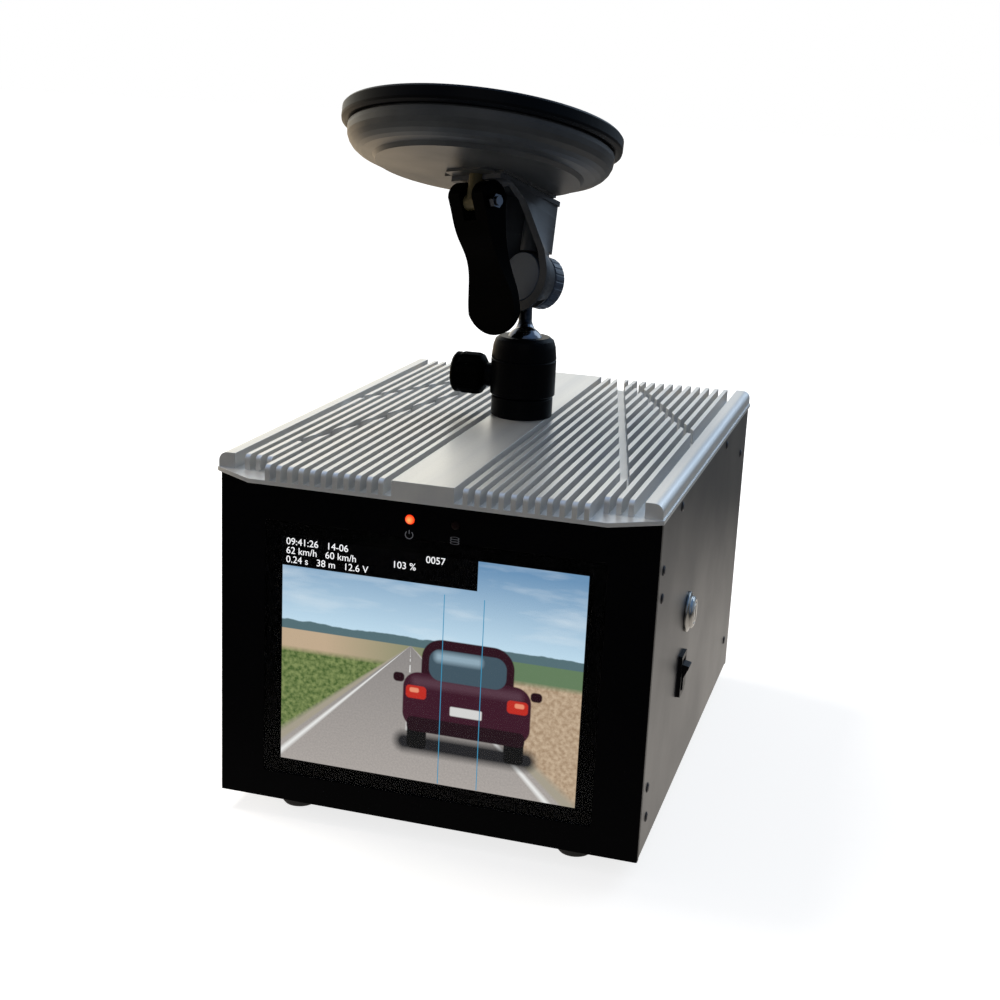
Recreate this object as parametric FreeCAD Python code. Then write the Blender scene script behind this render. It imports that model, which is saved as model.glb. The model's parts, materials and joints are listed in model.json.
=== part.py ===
# In-car speed radar and camera unit: a finned box with a display, and a suction-cup mount on a ball head.
# Millimetres. X is right, Y is back, Z is up. The origin is on the ground under the middle of the box.
import FreeCAD, Part
import math
import os

os.makedirs("parts", exist_ok=True)
V = FreeCAD.Vector

# ---------------------------------------------------------------- driving dimensions: the box
BOX_W = 230.0            # across the front
BOX_D = 300.0            # front face to rear face
WALL_H = 178.5           # height of the front and side walls
FOOT_H = 10.0            # rubber feet under the box
SHEET = 2.0              # sheet metal of the side, base and rear panels
BEZEL_T = 4.0            # front bezel plate
CORNER_R = 1.5           # softened outer corners

# the finned top
LIP = 17.0               # the top's overhang in front
LIP_SIDE = 1.0           # and beyond each side wall
TOP_T = 2.2              # flange that shows around the top
CORE_T = 4.0             # thicker plate under the flange, between the walls
FIN_H = 7.9
FIN_T = 2.6
FIN_PITCH = 6.0
FIN_FIRST = 21.6         # centre of the first fin from the centre line
FINS_PER_SIDE = 14
FINS_FORWARD = 11        # fins that reach the front lip; the outer ones start further back
PAD_HALF = 16.1          # half width of the smooth centre pad
RAIL_W = 9.0
LIP_CHAMFER_X = 92.0     # where the lip's front edge starts to run back to the corner
SLOT_W = 4.6             # milled slots that cross the fins

# the front
SCREEN_W = 162.0         # visible screen
SCREEN_H = 124.0
SCREEN_Z = 95.5          # its centre above the ground
LED_X = 12.0
LED_Z = 174.7

# the switches on the right wall
KEY_Y, KEY_Z = -47.8, 111.5
ROCKER_Y, ROCKER_Z = -58.0, 79.3
ROCKER_HALF = 11.9       # half height of the rocker's frame
ROCKER_TIP = 12.0        # tilt of the rocker to either side, degrees

# ---------------------------------------------------------------- driving dimensions: the mount
BALL_Y = 8.5             # the ball head's axis, behind the middle of the box
HEAD_R = 18.9
BASE_H = 12.0            # turning base under the ball housing
COLLAR_Z = 33.5          # seam between housing and collar, above the pad
HEAD_TOP = 46.6          # top of the collar, above the pad
BALL_RISE = 41.5         # ball centre above the pad
BALL_R = 11.0
KNOB_RISE = 22.0         # ball lock knob's axis above the pad
STEM_R = 3.9
THREAD_R = 3.1            # its end in the pivot eye
STEM_L = 39.2            # ball centre to pivot axis
LEAN = 16.5              # the mount leans back by this many degrees
YAW = 28.0               # and its open front is turned this far to the left
STEM_REST = -7.6         # the stem's angle in the bracket's ring
EYE_BACK = 50.2          # the stem's axis behind the cup's axis
EYE_DROP = 76.4          # and the pivot below the cup's rim plane
CUP_R = 79.0
DOME_R = 75.0
DOME_FLOOR = 27.0        # underside of the dome below the rim plane
FLANGE_T = 2.4
PIN_DROP = 43.5          # the lever's pin below the rim plane
PIN_R = 2.5
LEVER_L = 76.0
LEVER_HALF = 13.6        # half width at the pin
PIN_HEAD_R = 4.05        # the pin's hexagon head, across its corners
LEVER_LEAN = 20.0        # the lever leans towards the bracket when it is down
LEVER_SWING = 100.0      # degrees from down to open
STUD_TRAVEL = 5.0        # of the cup's centre, as the lever opens

RUN = 0.06               # radial clearance of a shaft that turns in its hole
GAP = 0.4                # clearance between faces that pass each other

# ---------------------------------------------------------------- levels
X_SIDE = BOX_W / 2
Y_FRONT = -BOX_D / 2
Y_BACK = BOX_D / 2
Z_BASE = FOOT_H
Z_TOP = FOOT_H + WALL_H
Z_FLOOR = Z_TOP + TOP_T
Z_FIN = Z_FLOOR + FIN_H


# ---------------------------------------------------------------- helpers
def box(x0, x1, y0, y1, z0, z1):
    return Part.makeBox(x1 - x0, y1 - y0, z1 - z0, V(x0, y0, z0))


def cyl(r, h, base, axis=V(0, 0, 1)):
    return Part.makeCylinder(r, h, base, axis)


def tube(r_out, r_in, h, base, axis=V(0, 0, 1)):
    return cyl(r_out, h, base, axis).cut(cyl(r_in, h, base, axis))


def fuse(shapes):
    first = shapes[0]
    return first.fuse(shapes[1:]).removeSplitter() if len(shapes) > 1 else first


def polygon(points):
    return Part.Face(Part.makePolygon(points + [points[0]]))


def revolve(profile, base=V(0, 0, 0), axis=V(0, 0, 1)):
    """Turns a closed (radius, height) outline about the Z axis, then stands it on base along axis."""
    face = polygon([V(r, 0, z) for r, z in profile])
    solid = face.revolve(V(0, 0, 0), V(0, 0, 1), 360)
    solid.Placement = FreeCAD.Placement(base, FreeCAD.Rotation(V(0, 0, 1), axis))
    return solid


def parallel_edges(shape, direction, where):
    """Straight edges along direction whose middle passes the test."""
    found = []
    for edge in shape.Edges:
        if edge.Curve.TypeId != "Part::GeomLine":
            continue
        run = edge.Vertexes[-1].Point.sub(edge.Vertexes[0].Point)
        if run.Length > 0.1 and run.normalize().cross(direction).Length < 1e-6 and where(edge.CenterOfMass):
            found.append(edge)
    return found


def rounded_box(x0, x1, y0, y1, z0, z1, r, direction=V(0, 0, 1)):
    block = box(x0, x1, y0, y1, z0, z1)
    return block.makeFillet(r, parallel_edges(block, direction, lambda p: True))


def save(node, shape):
    shape.exportStep("parts/" + node + ".step")


# ---------------------------------------------------------------- finned top
def top_plate():
    outline = [
        V(-X_SIDE - LIP_SIDE, Y_BACK, Z_TOP), V(-X_SIDE - LIP_SIDE, Y_FRONT - 1.6, Z_TOP),
        V(-LIP_CHAMFER_X, Y_FRONT - LIP, Z_TOP), V(LIP_CHAMFER_X, Y_FRONT - LIP, Z_TOP),
        V(X_SIDE + LIP_SIDE, Y_FRONT - 1.6, Z_TOP), V(X_SIDE + LIP_SIDE, Y_BACK, Z_TOP),
    ]
    flange = polygon(outline).extrude(V(0, 0, TOP_T))
    inside = X_SIDE - SHEET - 0.3
    core = box(-inside, inside, Y_FRONT + BEZEL_T + 8.3, Y_BACK - SHEET - 0.3, Z_TOP - CORE_T, Z_TOP)
    return fuse([flange, core])


def fin(x, y_start):
    """One fin with a rounded front corner, from y_start to the back."""
    round_r = 3.0
    z_low = Z_FLOOR - 0.5
    corner = Part.Arc(
        V(x, y_start, Z_FIN - round_r),
        V(x, y_start + round_r * (1 - math.sqrt(0.5)), Z_FIN - round_r * (1 - math.sqrt(0.5))),
        V(x, y_start + round_r, Z_FIN)).toShape()
    rest = Part.makePolygon([V(x, y_start + round_r, Z_FIN), V(x, Y_BACK - 2, Z_FIN), V(x, Y_BACK - 2, z_low),
                             V(x, y_start, z_low), V(x, y_start, Z_FIN - round_r)])
    side = Part.Face(Part.Wire([corner] + rest.Edges))
    side.translate(V(-FIN_T / 2, 0, 0))
    return side.extrude(V(FIN_T, 0, 0))


def rail(sign):
    x_out = X_SIDE + 0.3
    block = box(x_out - RAIL_W, x_out, Y_FRONT - 1.6, Y_BACK, Z_FLOOR - 0.5, Z_FIN)
    edge = parallel_edges(block, V(0, 1, 0), lambda p: p.x > x_out - 0.1 and p.z > Z_FIN - 0.1)
    block = block.makeFillet(4.5, edge)
    return block if sign > 0 else block.mirror(V(0, 0, 0), V(1, 0, 0))


def cross_slot(x0, y0, x1, y1):
    """A straight milled slot through the fins, down to the floor, between two points in plan."""
    start, end = V(x0, y0, Z_FLOOR), V(x1, y1, Z_FLOOR)
    run = end.sub(start)
    side = V(-run.y, run.x, 0).normalize() * (SLOT_W / 2)
    floor = polygon([start.add(side), end.add(side), end.sub(side), start.sub(side)])
    return floor.extrude(V(0, 0, FIN_H + 1))


def heatsink_top():
    pad = box(-PAD_HALF, PAD_HALF, Y_FRONT - LIP, Y_BACK, Z_FLOOR - 0.5, Z_FIN)
    fins = []
    for k in range(FINS_PER_SIDE):
        y_start = Y_FRONT - LIP if k < FINS_FORWARD else Y_FRONT - 1.6
        for sign in (-1, 1):
            fins.append(fin(sign * (FIN_FIRST + k * FIN_PITCH), y_start))
    slots = []
    for sign in (-1, 1):
        slots.append(cross_slot(sign * 26.0, 164.0, sign * 88.0, -112.0))
        slots.append(cross_slot(sign * 42.0, 135.0, sign * 101.5, 8.0))
    finned = Part.makeCompound(fins).cut(Part.makeCompound(slots))
    body = top_plate().fuse([pad, rail(-1), rail(1)] + finned.Solids)
    screw_hole = cyl(4.2, 40, V(0, BALL_Y, Z_TOP - 20))
    return body.cut(screw_hole).removeSplitter()


# ---------------------------------------------------------------- walls
SIDE_SCREWS = [(-133.0, 28.0), (-135.6, 45.5), (-135.8, 146.7), (-137.0, 161.5), (-94.0, 183.0),
               (58.0, 182.5), (128.0, 34.0), (128.0, 162.0)]


def side_panel(sign):
    """Folded sheet: the wall and a return flange over the base plate."""
    wall = box(X_SIDE - SHEET, X_SIDE, Y_FRONT + BEZEL_T, Y_BACK - SHEET, Z_BASE, Z_TOP)
    flange = box(X_SIDE - 14, X_SIDE - SHEET, Y_FRONT + BEZEL_T + 10, Y_BACK - SHEET - 4,
                 Z_BASE + SHEET, Z_BASE + 2 * SHEET)
    panel = fuse([wall, flange])
    fold = parallel_edges(panel, V(0, 1, 0), lambda p: p.x > X_SIDE - 0.1 and p.z < Z_BASE + 0.1)
    panel = panel.makeFillet(CORNER_R, fold)
    holes = [cyl(1.65, 4, V(X_SIDE - 3, y, z), V(1, 0, 0)) for y, z in SIDE_SCREWS]
    if sign > 0:
        holes.append(cyl(8.3, 4, V(X_SIDE - 3, KEY_Y, KEY_Z), V(1, 0, 0)))
        holes.append(box(X_SIDE - 3, X_SIDE + 1, ROCKER_Y - 5.6, ROCKER_Y + 5.6,
                         ROCKER_Z - ROCKER_HALF + 1.9, ROCKER_Z + ROCKER_HALF - 1.9))
    panel = panel.cut(holes)
    return panel if sign > 0 else panel.mirror(V(0, 0, 0), V(1, 0, 0))


def button_head(r, h, base, axis):
    """A low round screw head with a cross slot."""
    head = revolve([(0, 0), (r, 0), (r, h * 0.4), (r * 0.6, h), (0, h)], base, axis)
    shank = cyl(r * 0.5, 5.0, base.sub(axis * 5.0), axis)
    return head.fuse(shank)


def side_screws():
    return Part.makeCompound([button_head(2.6, 0.9, V(sign * X_SIDE, y, z), V(sign, 0, 0))
                              for sign in (-1, 1) for y, z in SIDE_SCREWS])


FOOT_X, FOOT_Y = 78.0, 128.0


def base_plate():
    plate = box(-X_SIDE + SHEET + 0.2, X_SIDE - SHEET - 0.2, Y_FRONT + BEZEL_T + 0.2, Y_BACK - SHEET - 0.2,
                Z_BASE, Z_BASE + SHEET)
    cuts = [cyl(2.2, 4, V(sx * FOOT_X, sy * FOOT_Y, Z_BASE - 1)) for sx in (-1, 1) for sy in (-1, 1)]
    for row in range(5):
        for x in (-34, 34):
            y = -24 + 12 * row
            cuts.append(rounded_box(x - 24, x + 24, y - 1.6, y + 1.6, Z_BASE - 1, Z_BASE + 4, 1.5))
    return plate.cut(cuts)


def foot(sx, sy):
    profile = [(2.2, 0), (8.6, 0), (9.4, 1.0), (10.6, FOOT_H - 0.6), (10.2, FOOT_H), (2.2, FOOT_H)]
    ring = revolve(profile, V(sx * FOOT_X, sy * FOOT_Y, 0))
    recess = cyl(4.2, 4.6, V(sx * FOOT_X, sy * FOOT_Y, 0))
    return ring.cut(recess)


def foot_screws():
    screws = []
    for sx in (-1, 1):
        for sy in (-1, 1):
            head = cyl(3.8, 1.8, V(sx * FOOT_X, sy * FOOT_Y, 2.7))
            screws.append(head.fuse(cyl(2.0, 11.5, V(sx * FOOT_X, sy * FOOT_Y, 4.5))))
    return Part.makeCompound(screws)


# the rear panel's openings: camera window, radar window, sockets
CAM_X, CAM_Z = 52.0, 112.0
RADAR_X, RADAR_Z = -48.0, 112.0
SOCKET_Z = 34.0
SUPPLY_X, NET_X, USB_X = -80.0, -44.0, -12.0
WINDOW_W, WINDOW_H = 66.0, 54.0
RADOME_W, RADOME_H, RADOME_T = 98.0, 82.0, 16.0
REAR_SCREWS = [(sx * 106.0, z) for sx in (-1, 1) for z in (22.0, 98.0, 176.0)]


def rear_panel():
    y0, y1 = Y_BACK - SHEET, Y_BACK
    plate = box(-X_SIDE, X_SIDE, y0, y1, Z_BASE, Z_TOP)
    cuts = [rounded_box(CAM_X - 27, CAM_X + 27, y0 - 1, y1 + 1, CAM_Z - 21, CAM_Z + 21, 4, V(0, 1, 0)),
            rounded_box(RADAR_X - 43, RADAR_X + 43, y0 - 1, y1 + 1, RADAR_Z - 35, RADAR_Z + 35, 4, V(0, 1, 0)),
            cyl(8.1, 4, V(SUPPLY_X, y0 - 1, SOCKET_Z), V(0, 1, 0)),
            box(NET_X - 8.2, NET_X + 8.2, y0 - 1, y1 + 1, SOCKET_Z - 7.2, SOCKET_Z + 7.2),
            box(USB_X - 7.4, USB_X + 7.4, y0 - 1, y1 + 1, SOCKET_Z - 8.4, SOCKET_Z + 8.4)]
    cuts += [cyl(1.65, 4, V(x, y0 - 1, z), V(0, 1, 0)) for x, z in REAR_SCREWS]
    return plate.cut(cuts)


def rear_screws():
    return Part.makeCompound([button_head(2.6, 0.9, V(x, Y_BACK, z), V(0, 1, 0)) for x, z in REAR_SCREWS])


def corner_posts():
    """Four aluminium angles that the walls screw to, from the base plate to the top."""
    posts = []
    for sx in (-1, 1):
        for sy in (-1, 1):
            x = sx * (X_SIDE - SHEET)
            y = Y_FRONT + BEZEL_T + 8.0 if sy < 0 else Y_BACK - SHEET
            z0, z1 = Z_BASE + 2 * SHEET, Z_TOP - CORE_T
            along = box(min(x, x - sx * 2), max(x, x - sx * 2), min(y, y - sy * 14), max(y, y - sy * 14), z0, z1)
            across = box(min(x, x - sx * 14), max(x, x - sx * 14), min(y, y - sy * 2), max(y, y - sy * 2), z0, z1)
            posts.append(fuse([along, across]))
    holes = [cyl(1.3, 2 * X_SIDE, V(-X_SIDE, y, z), V(1, 0, 0)) for y, z in SIDE_SCREWS]
    holes += [cyl(1.3, 12, V(x, Y_BACK - 12, z), V(0, 1, 0)) for x, z in REAR_SCREWS]
    return Part.makeCompound([post.cut(holes) for post in posts])


# ---------------------------------------------------------------- front
GLASS_W, GLASS_H, GLASS_T = SCREEN_W + 18, SCREEN_H + 16, 1.6


def front_bezel():
    """A plate with a rim that turns back inside the walls, a recess for the window and two indicator holes."""
    plate = box(-X_SIDE, X_SIDE, Y_FRONT, Y_FRONT + BEZEL_T, Z_BASE, Z_TOP)
    plate = plate.makeFillet(1.0, parallel_edges(plate, V(0, 0, 1), lambda p: p.y < Y_FRONT + 0.1))
    x_rim, z_low, z_high = X_SIDE - SHEET - 0.2, Z_BASE + SHEET + 0.2, Z_TOP - 0.3
    rim = box(-x_rim, x_rim, Y_FRONT + BEZEL_T, Y_FRONT + BEZEL_T + 7, z_low, z_high)
    rim = rim.cut(box(-x_rim + 2, x_rim - 2, Y_FRONT, Y_FRONT + 30, z_low + 2, z_high - 2))
    recess = rounded_box(-GLASS_W / 2 - 0.15, GLASS_W / 2 + 0.15, Y_FRONT - 1, Y_FRONT + GLASS_T + 0.1,
                         SCREEN_Z - GLASS_H / 2 - 0.15, SCREEN_Z + GLASS_H / 2 + 0.15, 2.0, V(0, 1, 0))
    opening = box(-SCREEN_W / 2 - 2, SCREEN_W / 2 + 2, Y_FRONT - 1, Y_FRONT + 10,
                  SCREEN_Z - SCREEN_H / 2 - 2, SCREEN_Z + SCREEN_H / 2 + 2)
    leds = [cyl(2.6, 10, V(sx * LED_X, Y_FRONT - 1, LED_Z), V(0, 1, 0)) for sx in (-1, 1)]
    return fuse([plate, rim]).cut([recess, opening] + leds)


def display_window():
    return rounded_box(-GLASS_W / 2, GLASS_W / 2, Y_FRONT, Y_FRONT + GLASS_T,
                       SCREEN_Z - GLASS_H / 2, SCREEN_Z + GLASS_H / 2, 1.9, V(0, 1, 0))


def lcd_panel():
    """The glass cell that shows the picture, just behind the window."""
    y = Y_FRONT + GLASS_T + 0.2
    return box(-SCREEN_W / 2 - 1.5, SCREEN_W / 2 + 1.5, y, y + 2.2,
               SCREEN_Z - SCREEN_H / 2 - 1.5, SCREEN_Z + SCREEN_H / 2 + 1.5)


def lcd_frame():
    """Pressed metal tray behind the cell, with ears for its screws."""
    y = Y_FRONT + BEZEL_T
    x, z = SCREEN_W / 2 + 8, SCREEN_H / 2 + 8
    tray = box(-x, x, y, y + 5, SCREEN_Z - z, SCREEN_Z + z)
    tray = tray.cut(box(-SCREEN_W / 2 - 6, SCREEN_W / 2 + 6, y + 1.2, y + 6,
                        SCREEN_Z - SCREEN_H / 2 - 6, SCREEN_Z + SCREEN_H / 2 + 6))
    ears = [box(sx * 92 - 5, sx * 92 + 5, y, y + 1.2, z - 6, z + 6) for sx in (-1, 1) for z in (60.0, 130.0)]
    return fuse([tray] + ears)


def indicator(sx):
    y = Y_FRONT - 0.9
    lens = revolve([(0, 0), (1.2, 0.15), (2.1, 0.7), (2.5, 1.6), (2.5, 5.5), (3.2, 5.5), (3.2, 6.5), (0, 6.5)],
                   V(sx * LED_X, y, LED_Z), V(0, 1, 0))
    return lens


def indicator_board():
    spacers = [cyl(2.0, 1.9, V(x, Y_FRONT + BEZEL_T, LED_Z), V(0, 1, 0)) for x in (-20, 20)]
    return fuse([box(-24, 24, Y_FRONT + 5.8, Y_FRONT + 7.4, LED_Z - 6, LED_Z + 6)] + spacers)


# ---------------------------------------------------------------- inside
BOARD_Z = 150.0


def main_board():
    z1 = BOARD_Z + 1.6
    board = box(-95, 95, -60, 80, BOARD_Z, z1)
    blocks = [box(-40, -4, -50, -44, z1 - 0.2, z1 + 18), box(4, 40, -50, -44, z1 - 0.2, z1 + 18),
              box(55, 85, 30, 60, z1 - 0.2, z1 + 8), box(-88, -60, -30, 20, z1 - 0.2, z1 + 10),
              box(-80, -50, 40, 70, z1 - 0.2, z1 + 6)]
    coils = [cyl(5, 7, V(60 + 12 * k, -40, z1 - 0.2)) for k in range(3)]
    return fuse([board] + blocks + coils)


def board_posts():
    """Spacers of the main board, under the top, and of the power board, on the base plate."""
    upper = [tube(3.4, 1.5, Z_TOP - CORE_T - BOARD_Z - 1.6, V(sx * 88.0, y, BOARD_Z + 1.6))
             for sx in (-1, 1) for y in (-54.0, 74.0)]
    lower = [tube(3.0, 1.4, 22 - Z_BASE - SHEET, V(x, y, Z_BASE + SHEET))
             for x in (24.0, 92.0) for y in (-86.0, 16.0)]
    return Part.makeCompound(upper + lower)


def thermal_block():
    """Carries the processor's heat up to the finned top."""
    z1 = Z_TOP - CORE_T
    base = box(-22, 22, -14, 30, BOARD_Z + 1.6, BOARD_Z + 9)
    post = box(-18, 18, -10, 26, BOARD_Z + 9, z1)
    return fuse([base, post]).cut(cyl(8.5, 8, V(0, BALL_Y, z1 - 7)))


def hard_disk():
    case = rounded_box(-90, -20, -70, 30, 13.5, 23.0, 3.0)
    return case.cut(cyl(18, 1.0, V(-55, -28, 22.5)))


def disk_bracket():
    tray = box(-94, -16, -64, 24, Z_BASE + SHEET, 20)
    return tray.cut(box(-90.1, -19.9, -70, 30, Z_BASE + SHEET + 1.5, 21))


def power_board():
    board = box(20, 96, -90, 20, 22, 23.6)
    coil = tube(14, 7, 12, V(44, -60, 23.5))
    caps = [cyl(6, 20, V(80, y, 23.5)) for y in (-76, -60, -44)]
    sink = [box(30 + 5 * k, 32 + 5 * k, -20, 14, 23.5, 42) for k in range(6)]
    return fuse([board, coil] + caps + sink + [box(30, 57, -20, 14, 23.5, 27)])


def camera_body():
    body = rounded_box(CAM_X - 27, CAM_X + 27, 20, 92, CAM_Z - 27, CAM_Z + 27, 3.0, V(0, 1, 0))
    ribs = [box(CAM_X - 28.5, CAM_X + 28.5, 34 + 8 * k, 36 + 8 * k, CAM_Z - 28.5, CAM_Z + 28.5) for k in range(5)]
    return fuse([body] + ribs)


def camera_lens():
    """Barrel with focus and aperture rings, hollow at the front, with a curved front glass."""
    profile = [(0, 0), (15, 0), (15, 6), (18, 8), (18, 18), (17, 19), (17, 22), (19, 23), (19, 34), (20.5, 36),
               (20.5, 47), (17.5, 47), (16.5, 40), (12, 42), (6, 43.4), (0, 43.8)]
    return revolve(profile, V(CAM_X, 92, CAM_Z), V(0, 1, 0))


def camera_bracket():
    foot_plate = box(CAM_X - 22, CAM_X + 22, 30, 90, Z_BASE + SHEET, Z_BASE + SHEET + 2.5)
    riser = box(CAM_X - 22, CAM_X + 22, 50, 53, Z_BASE + SHEET, CAM_Z - 31.5)
    shelf = box(CAM_X - 22, CAM_X + 22, 30, 88, CAM_Z - 31.5, CAM_Z - 28.5)
    gussets = [polygon([V(x, 53, 14.5), V(x, 84, 14.5), V(x, 53, 60)]).extrude(V(2.5, 0, 0))
               for x in (CAM_X - 22, CAM_X + 19.5)]
    return fuse([foot_plate, riser, shelf] + gussets)


def window_frame():
    """Raised frame around the rear camera window, with a hood above the glass."""
    y0, y1 = Y_BACK, Y_BACK + 8
    outer = rounded_box(CAM_X - WINDOW_W / 2, CAM_X + WINDOW_W / 2, y0, y1,
                        CAM_Z - WINDOW_H / 2, CAM_Z + WINDOW_H / 2, 6, V(0, 1, 0))
    hole = rounded_box(CAM_X - 25, CAM_X + 25, y0 - 1, y1 + 1, CAM_Z - 19, CAM_Z + 19, 3, V(0, 1, 0))
    seat = rounded_box(CAM_X - 27.2, CAM_X + 27.2, y0 - 1, y0 + 3.1, CAM_Z - 21.2, CAM_Z + 21.2, 4, V(0, 1, 0))
    top = CAM_Z + WINDOW_H / 2
    hood = polygon([V(CAM_X - 29, y1, top), V(CAM_X - 29, y1 + 9, top), V(CAM_X - 29, y1 + 9, top - 1.6),
                    V(CAM_X - 29, y1, top - 4.5)]).extrude(V(58, 0, 0))
    return fuse([outer, hood]).cut([hole, seat])


def camera_window():
    return rounded_box(CAM_X - 27, CAM_X + 27, Y_BACK + 0.1, Y_BACK + 3.0, CAM_Z - 21, CAM_Z + 21, 3.9, V(0, 1, 0))


def radome():
    """Thin plastic cover over the radar antenna, with a crowned face and a hollow back."""
    outer = rounded_box(RADAR_X - RADOME_W / 2, RADAR_X + RADOME_W / 2, Y_BACK, Y_BACK + RADOME_T,
                        RADAR_Z - RADOME_H / 2, RADAR_Z + RADOME_H / 2, 9, V(0, 1, 0))
    front = [e for e in outer.Edges if all(abs(v.Point.y - Y_BACK - RADOME_T) < 0.01 for v in e.Vertexes)]
    outer = outer.makeFillet(4.0, front)
    inner = rounded_box(RADAR_X - RADOME_W / 2 + 3, RADAR_X + RADOME_W / 2 - 3, Y_BACK - 1, Y_BACK + RADOME_T - 3,
                        RADAR_Z - RADOME_H / 2 + 3, RADAR_Z + RADOME_H / 2 - 3, 6.5, V(0, 1, 0))
    return outer.cut(inner)


def radar_antenna():
    """Flat antenna board on a metal back, with rows of square patches facing the rear."""
    y0 = Y_BACK - 6
    back = box(RADAR_X - 48, RADAR_X + 48, y0 - 12, y0, RADAR_Z - 40, RADAR_Z + 40)
    posts = [cyl(2.4, Y_BACK - SHEET - y0, V(RADAR_X + sx * 45.4, y0, RADAR_Z + sz * 37.4), V(0, 1, 0))
             for sx in (-1, 1) for sz in (-1, 1)]
    board = box(RADAR_X - 40, RADAR_X + 40, y0, y0 + 1.6, RADAR_Z - 32, RADAR_Z + 32)
    patches = [box(RADAR_X - 34 + 12 * i, RADAR_X - 26 + 12 * i, y0 + 1.5, y0 + 2.1,
                   RADAR_Z - 28 + 12 * j, RADAR_Z - 20 + 12 * j) for i in range(6) for j in range(5)]
    return fuse([back, board] + patches + posts)


def supply_socket():
    """Round panel socket for the supply lead: flange nut, shell and pins."""
    shell = tube(8.0, 6.4, 16, V(SUPPLY_X, Y_BACK - 8, SOCKET_Z), V(0, 1, 0))
    flange = tube(10.5, 7.0, 3, V(SUPPLY_X, Y_BACK, SOCKET_Z), V(0, 1, 0))
    floor = cyl(7.0, 4, V(SUPPLY_X, Y_BACK - 8, SOCKET_Z), V(0, 1, 0))
    pins = [cyl(0.9, 9, V(SUPPLY_X + 3 * math.cos(a), Y_BACK - 5, SOCKET_Z + 3 * math.sin(a)), V(0, 1, 0))
            for a in (0.5, 2.6, 4.7)]
    return fuse([shell, flange, floor] + pins)


def network_socket():
    shell = box(NET_X - 8, NET_X + 8, Y_BACK - 19, Y_BACK + 1.0, SOCKET_Z - 7, SOCKET_Z + 7)
    shell = shell.fuse(box(NET_X - 10, NET_X + 10, Y_BACK, Y_BACK + 1.0, SOCKET_Z - 9, SOCKET_Z + 9))
    mouth = box(NET_X - 5.9, NET_X + 5.9, Y_BACK - 12, Y_BACK + 2, SOCKET_Z - 4.6, SOCKET_Z + 2.6)
    notch = box(NET_X - 3.2, NET_X + 3.2, Y_BACK - 12, Y_BACK + 2, SOCKET_Z + 2, SOCKET_Z + 5.4)
    return shell.cut([mouth, notch])


def usb_sockets():
    """Two stacked sockets, each with its tongue."""
    shell = box(USB_X - 7.2, USB_X + 7.2, Y_BACK - 17, Y_BACK + 1.0, SOCKET_Z - 8.2, SOCKET_Z + 8.2)
    shell = shell.fuse(box(USB_X - 9.4, USB_X + 9.4, Y_BACK, Y_BACK + 1.0, SOCKET_Z - 10, SOCKET_Z + 10))
    mouths = [box(USB_X - 6.2, USB_X + 6.2, Y_BACK - 11, Y_BACK + 2, z - 2.6, z + 2.6)
              for z in (SOCKET_Z - 4.1, SOCKET_Z + 4.1)]
    tongues = [box(USB_X - 5.4, USB_X + 5.4, Y_BACK - 12, Y_BACK - 1, z - 0.9, z + 0.9)
               for z in (SOCKET_Z - 4.1, SOCKET_Z + 4.1)]
    return fuse([shell.cut(mouths)] + tongues)


# ---------------------------------------------------------------- switches
KEY_AXIS = V(1, 0, 0)


def key_switch_housing():
    """Threaded barrel behind the wall, with a flange and a raised ring in front."""
    profile = [(6.06, 4.4), (7.6, 4.4), (8.8, 3.4), (9.0, 2.4), (11.2, 1.4), (11.2, 0), (8.0, 0), (8.0, -22),
               (6.06, -22)]
    return revolve(profile, V(X_SIDE, KEY_Y, KEY_Z), KEY_AXIS)


def key_switch_nut():
    hexagon = Part.Wire(Part.makePolygon([V(0, 11.5 * math.cos(math.pi * k / 3), 11.5 * math.sin(math.pi * k / 3))
                                          for k in range(7)]))
    nut = Part.Face(hexagon).extrude(V(-4, 0, 0))
    nut.translate(V(X_SIDE - SHEET, KEY_Y, KEY_Z))
    return nut.cut(cyl(8.02, 6, V(X_SIDE - SHEET - 5, KEY_Y, KEY_Z), KEY_AXIS))


def key_switch_core():
    """The part that the key turns: slot for the key and a notch at its edge."""
    core = revolve([(0, 4.6), (5.2, 4.6), (6.0, 3.9), (6.0, -24), (0, -24)], V(X_SIDE, KEY_Y, KEY_Z), KEY_AXIS)
    slot = box(X_SIDE - 14, X_SIDE + 6, KEY_Y - 1.1, KEY_Y + 1.1, KEY_Z - 4.2, KEY_Z + 4.2)
    return core.cut(slot)


def rocker_frame():
    """Snap-in frame: flange outside, box behind the wall, open for the rocker."""
    x, y, z, half = X_SIDE, ROCKER_Y, ROCKER_Z, ROCKER_HALF
    flange = rounded_box(x, x + 2.2, y - 7.5, y + 7.5, z - half, z + half, 1.2, V(1, 0, 0))
    shell = box(x - 16, x + 0.5, y - 5.5, y + 5.5, z - half + 2, z + half - 2)
    well = box(x - 12, x + 4, y - 4.5, y + 4.5, z - half + 2.8, z + half - 2.8)
    blades = [box(x - 23, x - 15.5, y - 2.4, y + 2.4, z + dz - 0.4, z + dz + 0.4) for dz in (-6, 0, 6)]
    pivots = cyl(1.0, 11, V(x - 3, y - 5.5, z), V(0, 1, 0))
    return fuse([flange, shell]).cut(well).fuse([pivots] + blades)


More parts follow.
